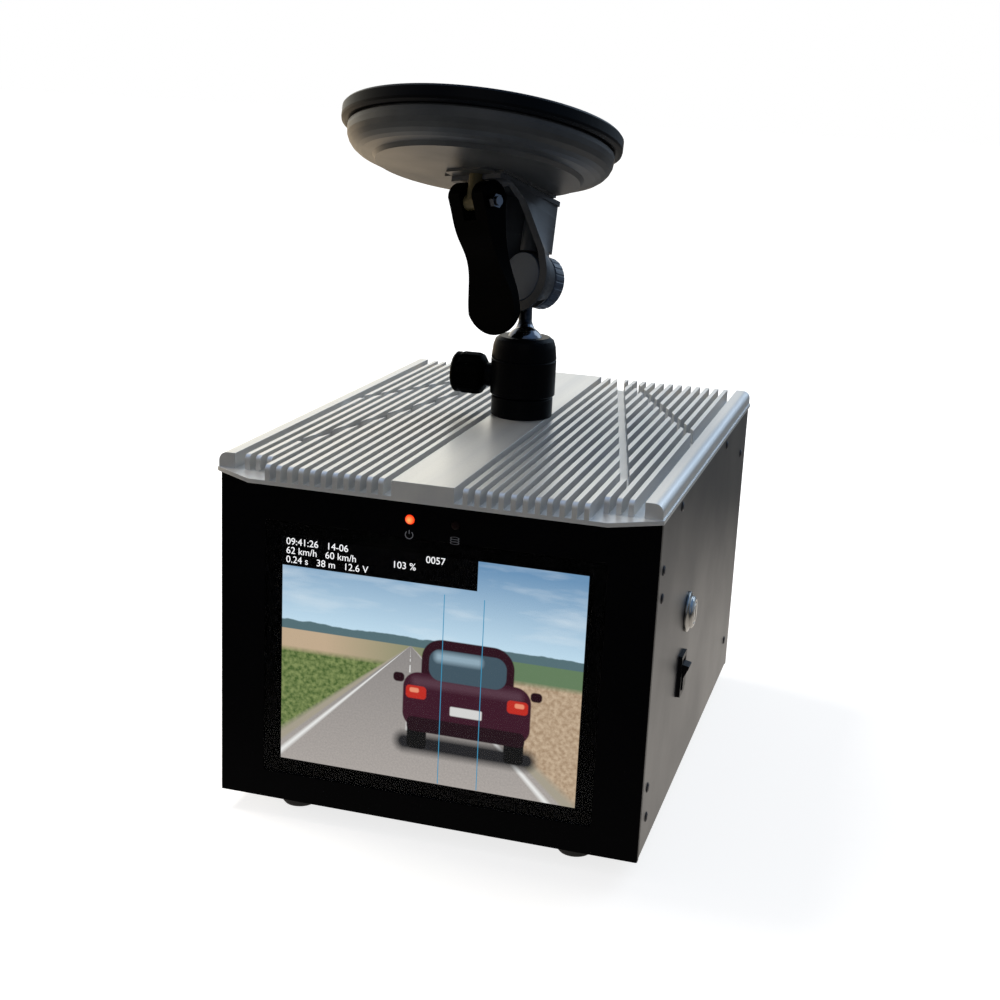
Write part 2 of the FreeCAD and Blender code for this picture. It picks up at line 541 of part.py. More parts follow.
def rocker_paddle():
    """Seen from the side a shallow V, so that one half always stands out."""
    half, front = ROCKER_HALF - 4.6, 3.9
    rise = half * math.tan(math.radians(ROCKER_TIP))
    x = X_SIDE
    side = [V(x - 6.5, 0, -4), V(x - 6.5, 0, 4), V(x - 1.0, 0, half), V(x + front + rise * 0.5, 0, half),
            V(x + front - rise * 0.5, 0, 0), V(x + front + rise * 0.5, 0, -half), V(x - 1.0, 0, -half)]
    body = polygon(side).extrude(V(0, 8.2, 0))
    body.translate(V(0, ROCKER_Y - 4.1, ROCKER_Z))
    body = body.makeFillet(0.8, parallel_edges(body, V(0, 1, 0), lambda p: p.x > x + 1 and abs(p.z - ROCKER_Z) > 5))
    body.rotate(V(x - 3, ROCKER_Y, ROCKER_Z), V(0, 1, 0), ROCKER_TIP)
    return body.cut(cyl(1.0 + RUN, 12, V(x - 3, ROCKER_Y - 6, ROCKER_Z), V(0, 1, 0)))


# ---------------------------------------------------------------- ball head
PAD_Z = Z_FIN
HEAD_BASE = V(0, BALL_Y, PAD_Z)
BALL = V(0, BALL_Y, PAD_Z + BALL_RISE)
SPIGOT_R = 9.0


def pan_base():
    profile = [(4.2, 0), (17.2, 0), (17.9, 0.7), (17.9, BASE_H - 0.8), (17.1, BASE_H), (SPIGOT_R, BASE_H),
               (SPIGOT_R, BASE_H + 5), (4.2, BASE_H + 5)]
    return revolve(profile, HEAD_BASE)


def pan_screw():
    """Comes up through the finned top and holds the turning base."""
    under_plate = -(CORE_T + TOP_T + FIN_H)
    profile = [(0, under_plate - 5), (7.5, under_plate - 5), (7.5, under_plate), (4.1, under_plate),
               (4.1, BASE_H + 3), (0, BASE_H + 3)]
    return revolve(profile, HEAD_BASE)


def ball_housing():
    """Body of the ball head, with a boss for the lock screw and room for the clamp pad."""
    r = HEAD_R
    z0 = BASE_H + GAP
    profile = [(SPIGOT_R + RUN, z0), (r - 0.8, z0), (r, z0 + 0.8), (r, COLLAR_Z - 0.5), (r - 0.5, COLLAR_Z),
               (BALL_R + 0.5, COLLAR_Z), (BALL_R + 0.5, BASE_H + 7), (SPIGOT_R + RUN, BASE_H + 6)]
    body = revolve(profile, HEAD_BASE)
    boss = cyl(7.0, 5.5, V(-r - 2.6, BALL_Y, PAD_Z + KNOB_RISE), V(1, 0, 0))
    inner = cyl(BALL_R + 0.5, 14, HEAD_BASE.add(V(0, 0, BASE_H + 7)))
    bore = cyl(4.0 + RUN, 20, V(-r - 4, BALL_Y, PAD_Z + KNOB_RISE), V(1, 0, 0))
    return body.fuse(boss.cut(inner)).cut(bore)


def ball_collar():
    """Screws onto the housing and keeps the ball in."""
    r = HEAD_R
    profile = [(BALL_R + 0.5, COLLAR_Z), (r - 0.5, COLLAR_Z), (r, COLLAR_Z + 0.5), (r - 0.8, HEAD_TOP - 5.5),
               (r - 2.0, HEAD_TOP - 1.8), (r - 4.4, HEAD_TOP), (9.0, HEAD_TOP), (9.0, BALL_RISE),
               (BALL_R + 0.5, BALL_RISE)]
    body = revolve(profile, HEAD_BASE)
    return body.cut(Part.makeSphere(BALL_R + RUN, BALL))


def clamp_pad():
    """Nylon cup under the ball, with a cone below that the lock screw presses on."""
    z0 = BASE_H + 7.3
    profile = [(0, z0), (7.0, z0), (BALL_R + 0.35, z0 + 5), (BALL_R + 0.35, COLLAR_Z + 3), (0, COLLAR_Z + 3)]
    body = revolve(profile, HEAD_BASE).cut(Part.makeSphere(BALL_R + RUN, BALL))
    return body.cut(cyl(4.6, 14, V(-14, BALL_Y, PAD_Z + KNOB_RISE), V(1, 0, 0)))


def lock_knob():
    """Lobed grip of the ball's lock screw."""
    base = V(-HEAD_R - 3.4, BALL_Y, PAD_Z + KNOB_RISE)
    out = V(-1, 0, 0)
    grip = revolve([(4.05, 2.4), (6.0, 2.4), (6.0, 0), (7.8, 0), (11.4, 2.4), (12.2, 4.6), (12.2, 13.6), (11.5, 15.4),
                    (11.8, 16.0), (11.8, 18.0), (10.4, 19.3), (0, 19.7), (0, 14), (4.05, 14)], base, out)
    lobes = [cyl(2.2, 13.8, V(base.x - 1.4, base.y + 13.2 * math.cos(a), base.z + 13.2 * math.sin(a)), out)
             for a in (2 * math.pi * k / 12 for k in range(12))]
    return grip.cut(lobes)


def lock_screw():
    tip = V(-10.2, BALL_Y, PAD_Z + KNOB_RISE)
    return revolve([(0, 0), (2.6, 0), (4.0, 1.6), (4.0, 24.0), (0, 24.0)], tip, V(-1, 0, 0))


# ---------------------------------------------------------------- suction mount, made upright about the cup's axis
TURN = FreeCAD.Rotation(V(1, 0, 0), -LEAN) * FreeCAD.Rotation(V(0, 0, 1), -YAW)
STEM_TURN = FreeCAD.Rotation(V(0, 1, 0), STEM_REST)
PIVOT = BALL.add(TURN.multVec(STEM_TURN.multVec(V(0, 0, STEM_L))))
CUP = PIVOT.sub(TURN.multVec(V(0, EYE_BACK, -EYE_DROP)))
MOUNT = FreeCAD.Placement(CUP, TURN)
EYE = V(0, EYE_BACK, -EYE_DROP)
BACK = V(0, 1, 0)
SLAB_Z = -DOME_FLOOR - 1.2
UNDER = SLAB_Z - FLANGE_T
RING_FRONT, RING_BACK, PLATE_BACK = 44.5, 55.3, 57.6
RING_R, RING_REAR_R = 20.6, 15.6
EYE_R, EYE_REAR_R = 14.4, 11.4
EYE_FACE = RING_FRONT + 0.4
EYE_L = 10.1
EYE_LIP = 2.0             # straight part of the eye's edge, before it tapers
PIVOT_BOLT_R = 3.0
BOLT_DEPTH = 6.0          # of the bolt in the back of the eye


def placed(shape):
    shape = shape.copy()
    shape.Placement = MOUNT.multiply(shape.Placement)
    return shape


def swung(shape):
    """Turns a shape made about the pivot to the stem's rest angle and puts it at the eye."""
    shape.rotate(V(0, 0, 0), BACK, STEM_REST)
    shape.translate(EYE)
    return shape


def ball_stud():
    """Ball, waist and stem turned from one bar; the thin end screws into the pivot eye."""
    ball = Part.makeSphere(BALL_R)
    neck = revolve([(0, 6), (5.8, 8.9), (STEM_R + 0.4, 12.4), (STEM_R, 14), (STEM_R, STEM_L - EYE_R - 0.2),
                    (THREAD_R, STEM_L - EYE_R - 0.2), (THREAD_R, STEM_L - 5), (0, STEM_L - 5)])
    stud = ball.fuse(neck)
    stud.translate(V(0, 0, -STEM_L))
    return placed(swung(stud))


def pivot_eye():
    """Tapered block that the stem screws into; its face shows in the bracket's ring."""
    front = EYE_FACE - EYE_BACK
    eye = revolve([(0, 0), (EYE_R - 0.5, 0), (EYE_R, 0.5), (EYE_R, EYE_LIP), (EYE_REAR_R, EYE_L), (0, EYE_L)],
                  V(0, front, 0), BACK)
    stud_hole = cyl(THREAD_R + 0.05, EYE_R - 4, V(0, 0, -EYE_R - 1))
    bolt_hole = cyl(PIVOT_BOLT_R + 0.05, BOLT_DEPTH, V(0, front + EYE_L - BOLT_DEPTH, 0), BACK)
    return placed(swung(eye.cut([stud_hole, bolt_hole])))


def pivot_bolt():
    y0 = EYE_FACE + EYE_L - BOLT_DEPTH
    return placed(cyl(PIVOT_BOLT_R, PLATE_BACK + 8.6 - y0, V(0, y0, -EYE_DROP), BACK))


def plan(half_front, half_back, y_front, y_back, z):
    """One level of the bracket: a trapezium, wide in front and narrow behind."""
    return Part.makePolygon([V(-half_front, y_front, z), V(half_front, y_front, z), V(half_back, y_back, z),
                             V(-half_back, y_back, z), V(-half_front, y_front, z)])


# height, front edge and front half width of the arm, from the dome down to the pivot
ARM_LEVELS = [(UNDER, 8.0, 19.5), (-38.0, 20.5, 19.5), (-45.0, 27.0, 19.6), (-51.0, 31.8, 19.8), (-62.0, 40.5, 20.2),
              (-72.0, 44.0, RING_R), (-EYE_DROP, RING_FRONT, RING_R)]
ARM_WALL = 5.0
ARM_RIDGE = 66.0         # the narrow back edge
RIDGE_HALF = 3.2
HOLLOW_BACK = 57.0       # back of the hollow, high in the arm
RING_LEVEL = -60.0       # below this the hollow ends at the plate behind the eye
RIB_Y, RIB_R = 49.5, 5.2


def arm_outside():
    levels = [plan(half, RIDGE_HALF, front, ARM_RIDGE, z) for z, front, half in ARM_LEVELS]
    return Part.makeLoft(levels, True, True)


def arm_inside():
    """The hollow between the walls, open to the front from the dome down to the middle of the eye."""
    levels = []
    for z, front, half in ARM_LEVELS:
        back, back_half = (HOLLOW_BACK, 0.8) if z > RING_LEVEL else (RING_BACK, 10.0)
        levels.append(plan(half - ARM_WALL, back_half, front - 0.6, back, z + (0.5 if z == UNDER else 0.0)))
    return Part.makeLoft(levels, True, True)


def bracket_slab():
    """Flat top of the bracket, a little larger than the arm below it."""
    slab = Part.Face(plan(21.0, RIDGE_HALF + 1.2, -1.0, ARM_RIDGE + 1, UNDER - 0.3)).extrude(V(0, 0, FLANGE_T + 0.3))
    return slab.makeFillet(2.0, parallel_edges(slab, V(0, 0, 1), lambda p: True))


def bracket():
    """Open-fronted cast arm: two walls that sweep back and meet behind, a rib, and a cup for the eye."""
    depth = PLATE_BACK - RING_FRONT
    centre = V(0, RING_FRONT, -EYE_DROP)
    arm = arm_outside().cut(box(-30, 30, PLATE_BACK, 80, -EYE_DROP - 30, -EYE_DROP + 17.0))
    ring = revolve([(0, 0), (RING_R, 0), (RING_R, RING_EDGE), (RING_REAR_R, depth), (0, depth)], centre, BACK)
    arm = arm.fuse(ring).cut(arm_inside())
    rib = cyl(RIB_R, 32, V(0, RIB_Y, 1.0 + EYE_R - EYE_DROP)).common(arm_outside())
    arm = fuse([arm, rib, bracket_slab()])
    well_depth = RING_BACK - RING_FRONT
    well = revolve([(0, -6), (EYE_R + 0.6, -6), (EYE_R + 0.6, EYE_LIP + 0.4), (EYE_REAR_R + 0.8, well_depth),
                    (0, well_depth)], centre, BACK)
    cuts = [well, cyl(PIVOT_BOLT_R + RUN, 12, V(0, 50, -EYE_DROP), BACK), stem_slot(), cyl(5.2, 10, V(0, 0, UNDER - 2))]
    cuts += [cyl(1.1, 12, V(x, y, -DOME_FLOOR + DOME_WALL - 8.4)) for x, y in BRACKET_SCREWS]
    return placed(arm.cut(cuts))


STEM_SWING = 28.0        # degrees that the stem can swing to each side in the ring
RING_EDGE = 2.4          # straight part of the ring's edge, before it tapers
LIP_T = 1.5              # closed front edge of the ring, in front of the stem


def stem_slot():
    """Window in the ring's underside for the stem, behind the ring's closed front edge."""
    half = math.radians(STEM_SWING + 19.0)
    reach = RING_R + 6
    y = RING_FRONT + LIP_T
    sector = polygon([V(0, y, -EYE_DROP), V(-reach * math.tan(half), y, -EYE_DROP - reach),
                      V(reach * math.tan(half), y, -EYE_DROP - reach)])
    return sector.extrude(V(0, RING_BACK - y, 0))


BRACKET_SCREWS = [(-14.6, 16.0), (14.6, 16.0), (0.0, RIB_Y)]
DOME_WALL = 3.0


def bracket_screws():
    """Put in from inside the dome, down into the walls and the spine."""
    z = -DOME_FLOOR + DOME_WALL
    heads = [cyl(2.4, 1.6, V(x, y, z)).fuse(cyl(1.1, 8.4, V(x, y, z - 8.4))) for x, y in BRACKET_SCREWS]
    return placed(Part.makeCompound(heads))


def pivot_knob():
    """Knurled clamp knob on the back of the bracket."""
    start = V(0, PLATE_BACK + GAP, -EYE_DROP)
    bore = PIVOT_BOLT_R + RUN
    knob = revolve([(bore, 0), (13.6, 0), (15.4, 1.4), (15.4, 8.2), (14.0, 9.6), (5.0, 9.6), (5.0, 8.4), (bore, 8.4)],
                   start, BACK)
    grooves = [cyl(0.9, 12, V(15.9 * math.cos(a), start.y - 1, start.z + 15.9 * math.sin(a)), BACK)
               for a in (2 * math.pi * k / 24 for k in range(24))]
    return placed(knob.cut(grooves))


def dome_cover():
    """Grey shell behind the rubber disc, with a stepped foot for the bracket and a guide for the stud."""
    outer = [(DOME_R - 1, -9.0), (DOME_R, -10.2), (DOME_R, -12.5)]
    belly_r, belly = 12.5, []
    for k in range(1, 7):
        a = math.radians(15 * k)
        belly.append((DOME_R - belly_r + belly_r * math.cos(a), -12.5 - belly_r * math.sin(a) * 0.93))
    floor = [(59.5, -24.6), (57.8, -DOME_FLOOR), (0, -DOME_FLOOR)]
    inner = [(0, -DOME_FLOOR + DOME_WALL), (55.5, -DOME_FLOOR + DOME_WALL), (60.5, -21.2), (70.0, -16.0),
             (72.2, -9.0)]
    shell = revolve(outer + belly + floor + inner)
    guide = cyl(8.5, 12, V(0, 0, -DOME_FLOOR))
    step = rounded_box(-17, 17, -11, 30, SLAB_Z, -DOME_FLOOR + 0.5, 5.0)
    seat = Part.Face(plan(23.0, 9.0, -3.0, 57.0, SLAB_Z)).extrude(V(0, 0, 1.7))
    body = fuse([shell, guide, step, seat]).cut(cyl(4.9, 30, V(0, 0, -40)))
    holes = [cyl(1.2, 6, V(x, y, SLAB_Z - 1)) for x, y in BRACKET_SCREWS]
    return placed(body.cut(holes))


def suction_rubber():
    """Soft disc: thick rim, thin web, and a hole for the stud's head."""
    profile = [(CUP_R, -1.2), (CUP_R - 1.0, 0), (CUP_R - 5.0, 0), (68, -1.8), (45, -4.6), (16, -6.0), (16, -9.2),
               (45, -8.0), (69, -7.4), (71, -9.0), (CUP_R - 2.2, -9.0), (CUP_R - 0.3, -7.8), (CUP_R, -6.4)]
    return placed(revolve(profile))


def pull_stud():
    """Carries the middle of the disc; the lever's pin crosses its lower end."""
    shank = revolve([(0, -7.0), (14.6, -7.0), (14.6, -9.0), (7, -10.2), (4.5, -11.4), (4.5, -PIN_DROP),
                     (0, -PIN_DROP)])
    end = cyl(4.5, 8.4, V(-4.2, 0, -PIN_DROP), V(1, 0, 0))
    return placed(fuse([shank, end]).cut(cyl(PIN_R + 0.03, 20, V(-10, 0, -PIN_DROP), V(1, 0, 0))))


def cup_centre():
    """Rubber middle of the disc, bonded to the stud's head."""
    return placed(revolve([(0, -5.2), (15.0, -5.6), (15.3, -6.2), (15.0, -7.0), (0, -7.0)]))


def lever_pin():
    """Pin with a hexagon head at the right, turned over at the left."""
    start = V(-LEVER_HALF - 0.3, 0, -PIN_DROP)
    pin = cyl(PIN_R, 2 * LEVER_HALF + 0.6, start, V(1, 0, 0))
    rivet = revolve([(0, 1.2), (2.4, 1.2), (3.4, 0.4), (3.4, 0), (0, 0)], start, V(-1, 0, 0))
    head = polygon([V(LEVER_HALF + 0.3, PIN_HEAD_R * math.cos(math.pi * k / 3), PIN_HEAD_R * math.sin(math.pi * k / 3))
                    for k in range(6)]).extrude(V(4.6, 0, 0))
    head.translate(V(0, 0, -PIN_DROP))
    tip = cyl(2.6, 6.0, V(LEVER_HALF + 0.3, 0, -PIN_DROP), V(1, 0, 0))
    return placed(fuse([pin, rivet, head, tip]))


# the lever's side view about its pin, y to the back and z up along the handle
HANDLE_FRONT = [V(0, 3.4, -LEVER_L), V(0, 3.6, -60), V(0, 3.9, -50), V(0, 2.8, -41), V(0, 0.2, -29), V(0, -3.4, -18),
                V(0, -4.6, -10)]
HANDLE_BACK = [V(0, 9.6, -14), V(0, 9.8, -26), V(0, 10.4, -38), V(0, 9.9, -48), V(0, 8.8, -58),
               V(0, 6.2, -LEVER_L)]
# half width and height along the handle
HANDLE_SIDE = [(LEVER_HALF, -8.0), (13.0, -18.0), (12.2, -30.0), (13.8, -41.0), (16.0, -48.0), (17.9, -57.0),
               (18.2, -64.0)]
CAM_LOW = PIN_DROP + UNDER - STUD_TRAVEL - 0.9


def spline(points):
    curve = Part.BSplineCurve()
    curve.interpolate(points)
    return curve.toShape()


def lever_profile():
    """The lever from the side about its pin: a cam whose reach shrinks evenly as it turns, then the handle."""
    turn = math.radians(LEVER_SWING)
    growth = STUD_TRAVEL / turn
    first = math.radians(LEVER_LEAN) - turn
    cam = []
    for k in range(9):
        a = first + turn * k / 8
        reach = CAM_LOW + growth * (a - first)
        cam.append(V(0, reach * math.sin(a) + growth * math.cos(a), reach * math.cos(a) - growth * math.sin(a)))
    top = cam[-1].Length
    a0 = math.atan2(cam[-1].y, cam[-1].z)
    heel = [V(0, top * math.sin(a0 + b), top * math.cos(a0 + b)) for b in (0.0, 0.5, 1.0)]
    back = Part.Arc(heel[0], heel[1], heel[2]).toShape()
    tip = Part.makeLine(HANDLE_BACK[-1], HANDLE_FRONT[0])
    edges = [spline(cam), back, spline([heel[2]] + HANDLE_BACK), tip, spline(HANDLE_FRONT + [cam[0]])]
    return Part.Face(Part.Wire(edges))


def lever_outline():
    """The lever from the front: square shoulders at the cam, a waist, and a rounded paddle."""
    side = [V(x, 0, z) for x, z in HANDLE_SIDE]
    other = [V(-p.x, 0, p.z) for p in reversed(side)]
    end = Part.Arc(side[-1], V(0, 0, -LEVER_L + 0.3), other[0]).toShape()
    top = Part.makePolygon([other[-1], V(-LEVER_HALF, 0, 20), V(LEVER_HALF, 0, 20), side[0]])
    face = Part.Face(Part.Wire([spline(side), end, spline(other)] + top.Edges))
    face.translate(V(0, -20, 0))
    return face.extrude(V(0, 40, 0))


def clamp_lever():
    """Black cam lever with a fork for the stud and a hollow back."""
    side = lever_profile()
    side.translate(V(-20, 0, 0))
    body = side.extrude(V(40, 0, 0)).common(lever_outline())
    fork = box(-4.8, 4.8, -20, 20, -9.5, 20)
    skin = [p.add(V(-8.5, 2.8, 0)) for p in HANDLE_FRONT[1:-1]]
    pocket = polygon(skin + [V(-8.5, 30, -18), V(-8.5, 30, -60)]).extrude(V(17, 0, 0))
    hole = cyl(PIN_R + RUN, 40, V(-20, 0, 0), V(1, 0, 0))
    body = body.cut([fork, pocket, hole])
    body.rotate(V(0, 0, 0), V(1, 0, 0), LEVER_LEAN)
    body.translate(V(0, 0, -PIN_DROP))
    return placed(body)


# ---------------------------------------------------------------- write every node
NODES = {
    "heatsink_top": heatsink_top, "side_panel_right": lambda: side_panel(1), "side_panel_left": lambda: side_panel(-1),
    "side_screws": side_screws,
    "base_plate": base_plate, "rear_panel": rear_panel, "rear_screws": rear_screws, "corner_posts": corner_posts,
    "foot_screws": foot_screws, "front_bezel": front_bezel, "display_window": display_window,
    "lcd_panel": lcd_panel, "lcd_frame": lcd_frame, "power_indicator": lambda: indicator(-1),
    "disk_indicator": lambda: indicator(1), "indicator_board": indicator_board, "main_board": main_board,
    "board_posts": board_posts, "thermal_block": thermal_block, "hard_disk": hard_disk,
    "hard_disk_bracket": disk_bracket, "power_board": power_board,
    "camera_body": camera_body, "camera_lens": camera_lens, "camera_bracket": camera_bracket,
    "camera_window": camera_window, "camera_window_frame": window_frame, "radome_cover": radome,
    "radar_antenna": radar_antenna, "supply_socket": supply_socket, "network_socket": network_socket,
    "usb_sockets": usb_sockets, "key_switch_housing": key_switch_housing, "key_switch_nut": key_switch_nut,
    "key_switch_core": key_switch_core, "rocker_frame": rocker_frame, "rocker_paddle": rocker_paddle,
    "pan_base": pan_base, "pan_screw": pan_screw, "ball_housing": ball_housing, "ball_collar": ball_collar,
    "clamp_pad": clamp_pad, "lock_knob": lock_knob, "lock_screw": lock_screw, "ball_stud": ball_stud,
    "pivot_eye": pivot_eye, "pivot_bolt": pivot_bolt, "mount_bracket": bracket, "bracket_screws": bracket_screws,
    "pivot_knob": pivot_knob, "dome_cover": dome_cover, "suction_rubber": suction_rubber, "pull_stud": pull_stud,
    "cup_centre": cup_centre, "lever_pin": lever_pin, "clamp_lever": clamp_lever,
}
FEET = {
    "foot_front_left": (-1, -1), "foot_front_right": (1, -1), "foot_rear_left": (-1, 1), "foot_rear_right": (1, 1),
}

for node, make in NODES.items():
    save(node, make())
for node, (sx, sy) in FEET.items():
    save(node, foot(sx, sy))
print("nodes", len(NODES) + len(FEET))
print("ball", BALL, "pivot", PIVOT, "cup", CUP)
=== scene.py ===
# %% [markdown]
# # An in-car speed radar on its suction mount
#
# The object is a sheet metal box with a finned aluminium top, a black front frame round a lit screen,
# two switches on its right wall, and a suction-cup mount on a ball head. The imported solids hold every
# size and joint. This lesson gives them finishes, softens their edges, and adds the small things that
# a solid model leaves out: the black print round the picture, the numbers on the screen, and the
# symbols under the lamps.

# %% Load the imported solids
import json
import math
from functools import partial

import bmesh
import bpy
from mathutils import Matrix, Vector


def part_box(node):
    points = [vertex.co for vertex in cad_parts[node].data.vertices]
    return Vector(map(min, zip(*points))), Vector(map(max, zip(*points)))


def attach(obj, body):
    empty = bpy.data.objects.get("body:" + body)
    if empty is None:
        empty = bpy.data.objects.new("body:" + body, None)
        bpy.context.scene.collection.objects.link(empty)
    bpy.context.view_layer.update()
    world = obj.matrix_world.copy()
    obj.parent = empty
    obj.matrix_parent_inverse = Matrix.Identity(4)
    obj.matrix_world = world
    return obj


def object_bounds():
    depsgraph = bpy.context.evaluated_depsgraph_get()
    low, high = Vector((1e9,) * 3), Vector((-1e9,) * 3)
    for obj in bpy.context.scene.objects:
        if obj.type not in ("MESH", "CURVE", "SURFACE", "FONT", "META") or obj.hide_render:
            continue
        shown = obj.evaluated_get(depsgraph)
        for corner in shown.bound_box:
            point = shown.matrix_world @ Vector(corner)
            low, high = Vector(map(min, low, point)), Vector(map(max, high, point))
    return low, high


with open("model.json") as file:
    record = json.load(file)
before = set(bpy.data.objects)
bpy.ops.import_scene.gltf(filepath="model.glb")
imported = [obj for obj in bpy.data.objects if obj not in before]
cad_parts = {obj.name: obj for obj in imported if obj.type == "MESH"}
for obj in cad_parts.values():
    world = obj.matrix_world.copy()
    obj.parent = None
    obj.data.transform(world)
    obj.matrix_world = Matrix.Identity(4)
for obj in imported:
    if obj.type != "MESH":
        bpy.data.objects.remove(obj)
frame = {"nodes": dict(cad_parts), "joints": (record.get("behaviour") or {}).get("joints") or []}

cad_low, cad_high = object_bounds()
nodes = frame["nodes"]
print(len(nodes), "solids between", tuple(cad_low), "and", tuple(cad_high))

# %% [markdown]
# ## Where things are
#
# Every place is read from the boxes of the solids, so the lesson follows them if a size changes. The
# camera is set from the foot of the front frame. The symbols are printed on its front plane, and the
# picture is drawn round the middle of the screen's cell.

# %% Read the datums
front_low, front_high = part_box("front_bezel")
screen_low, screen_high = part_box("lcd_panel")
glass_low, glass_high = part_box("display_window")
FRONT_Y = front_low.y
DATUM = Vector(((front_low.x + front_high.x) / 2, FRONT_Y, front_low.z))
SCREEN = Vector(((screen_low.x + screen_high.x) / 2, screen_low.y, (screen_low.z + screen_high.z) / 2))
print("the front is", round(front_high.x - front_low.x, 4), "m wide")

# %% [markdown]
# ## The camera
#
# A product like this is looked at from above its right front corner. A 56.4 mm lens about 0.84 m away
# gives a gentle perspective. The camera is tilted down 15 degrees and rolled a little, as if it were
# held by hand. Its place is measured from the foot of the front frame.

# %% Set the camera
SENSOR_MM = 36.0
LENS_MM = 56.443
CLIP_START = 0.01
CAMERA_FROM_DATUM = Vector((0.23394, -0.70988, 0.38295))
CAMERA_DEGREES = (74.6401, -2.6510, 16.4385)

camera_data = bpy.data.cameras.new("camera")
camera_data.sensor_width = SENSOR_MM
camera_data.lens = LENS_MM
camera_data.clip_start = CLIP_START
camera = bpy.data.objects.new("camera", camera_data)
bpy.context.scene.collection.objects.link(camera)
bpy.context.scene.camera = camera
camera.location = DATUM + CAMERA_FROM_DATUM
camera.rotation_euler = [math.radians(degrees) for degrees in CAMERA_DEGREES]
print("camera", round((camera.location - DATUM).length, 3), "m from the foot of the front")

# %% [markdown]
# ## Small helpers for nodes
#
# A material could be built by hand in the node editor. In a script the same few steps come again and
# again: add a node, set or link its inputs, take its output. Each step is a short function here, so
# that a material below reads like a recipe.

# %% Add and link nodes
def connect(tree, node, inputs):
    """Links each input that is given a socket, and sets each that is given a value."""
    for key, value in inputs.items():
        if isinstance(value, bpy.types.NodeSocket):
            tree.links.new(value, node.inputs[key])
        else:
            node.inputs[key].default_value = value


def put(tree, kind, inputs=None, **settings):
    """Adds a shader node with its inputs and settings."""
    node = tree.nodes.new("ShaderNode" + kind)
    for key, value in settings.items():
        setattr(node, key, value)
    connect(tree, node, inputs or {})
    return node


def calc(tree, operation, *values, clamp=False):
    """One Math node's output."""
    return put(tree, "Math", dict(enumerate(values)), operation=operation, use_clamp=clamp).outputs[0]


def vector_calc(tree, operation, *values):
    """One Vector Math node's output: a number for a length or a distance, or else a vector."""
    node = put(tree, "VectorMath", dict(enumerate(values)), operation=operation)
    return node.outputs["Value" if operation in ("LENGTH", "DISTANCE") else "Vector"]


print("helpers:", connect.__name__, put.__name__, calc.__name__, vector_calc.__name__)

# %% Read, stretch and mix values
def object_point(tree):
    """Object coordinates, which are metres on every piece."""
    return put(tree, "TexCoord").outputs["Object"]


def split(tree, vector):
    """The X, Y and Z of a vector."""
    return put(tree, "SeparateXYZ", {0: vector}).outputs


def noise(tree, where, scale, detail):
    """A Noise Texture's value."""
    return put(tree, "TexNoise", {"Vector": where, "Scale": scale, "Detail": detail}).outputs["Fac"]


def ranged(tree, value, start, end, low=0.0, high=1.0):
    """A value from start to end, stretched to low to high and held beyond both ends."""
    return put(tree, "MapRange", {0: value, 1: start, 2: end, 3: low, 4: high}).outputs[0]


def mixed(tree, mask, under, over):
    """The colour over laid on the colour under where mask is 1."""
    return put(tree, "Mix", {0: mask, 6: under, 7: over}, data_type="RGBA").outputs[2]


def ray_kinds(tree):
    """Two masks: rays that look straight at a thing, and rays that mirror it or pass through glass."""
    path = put(tree, "LightPath").outputs
    return path["Is Camera Ray"], calc(tree, "MAXIMUM", path["Is Glossy Ray"], path["Is Transmission Ray"])


WHITE = (1.0, 1.0, 1.0, 1.0)
BLACK = (0.0, 0.0, 0.0, 1.0)
print("colours run from", BLACK[:3], "to", WHITE[:3])

# %% [markdown]
# ## The studio
#
# The floor and the backdrop are white where the camera looks at them. Metal and gloss need something
# to mirror, so reflections see a room instead. Its side walls are warm on the left and blue on the
# right. Its back wall is bright and warm on the left and paler blue on the right, its ceiling is blue,
# and the wall behind the camera is dim. The world gives an even grey to all that is matt. One Light
# Path node tells these three kinds of ray apart, so that each gets the world it needs.

# %% Paint the room that is mirrored
AMBIENT = (0.27, 0.28, 0.30, 1.0)
LEFT_WALL, RIGHT_WALL = (0.42, 0.37, 0.30, 1.0), (0.10, 0.17, 0.30, 1.0)
BACK_LEFT, BACK_RIGHT = (1.50, 1.43, 1.23, 1.0), (0.45, 0.57, 0.72, 1.0)
CEILING, FRONT_WALL = (0.22, 0.40, 0.74, 1.0), (0.03, 0.03, 0.035, 1.0)

world = bpy.data.worlds.new("studio")
bpy.context.scene.world = world
world.use_nodes = True
sky = world.node_tree
looked_at, mirrored = ray_kinds(sky)
# A heading's X, Y and Z run from -1 to 1, and each range says where one wall fades into the next.
heading = split(sky, put(sky, "TexCoord").outputs["Generated"])
side_walls = mixed(sky, ranged(sky, heading["X"], -0.7, 0.7), LEFT_WALL, RIGHT_WALL)
back_wall = mixed(sky, ranged(sky, heading["X"], -0.35, 0.05), BACK_LEFT, BACK_RIGHT)
room = mixed(sky, ranged(sky, heading["Y"], -0.5, 0.75), side_walls, back_wall)
room = mixed(sky, ranged(sky, heading["Z"], 0.25, 0.95), room, CEILING)
room = mixed(sky, ranged(sky, heading["Y"], -0.2, -0.8, high=0.75), room, FRONT_WALL)
room = mixed(sky, mirrored, AMBIENT, room)
backdrop = mixed(sky, looked_at, room, WHITE)
connect(sky, sky.nodes["Background"], {"Color": backdrop, "Strength": 1.0})
print(len(sky.nodes), "nodes light the world")

# %% [markdown]
# The floor is a wide sheet of white paper just under the feet. It glows for the camera, a little less
# near the box, and so it stays white round a soft shadow. Mirrored, it is a sunlit floor: warm near
# the box, dark farther out and towards the camera, with an orange patch behind the left corner.

# %% Lay the floor
FLOOR_HALF = 12.0
FLOOR_GAP = 0.0002

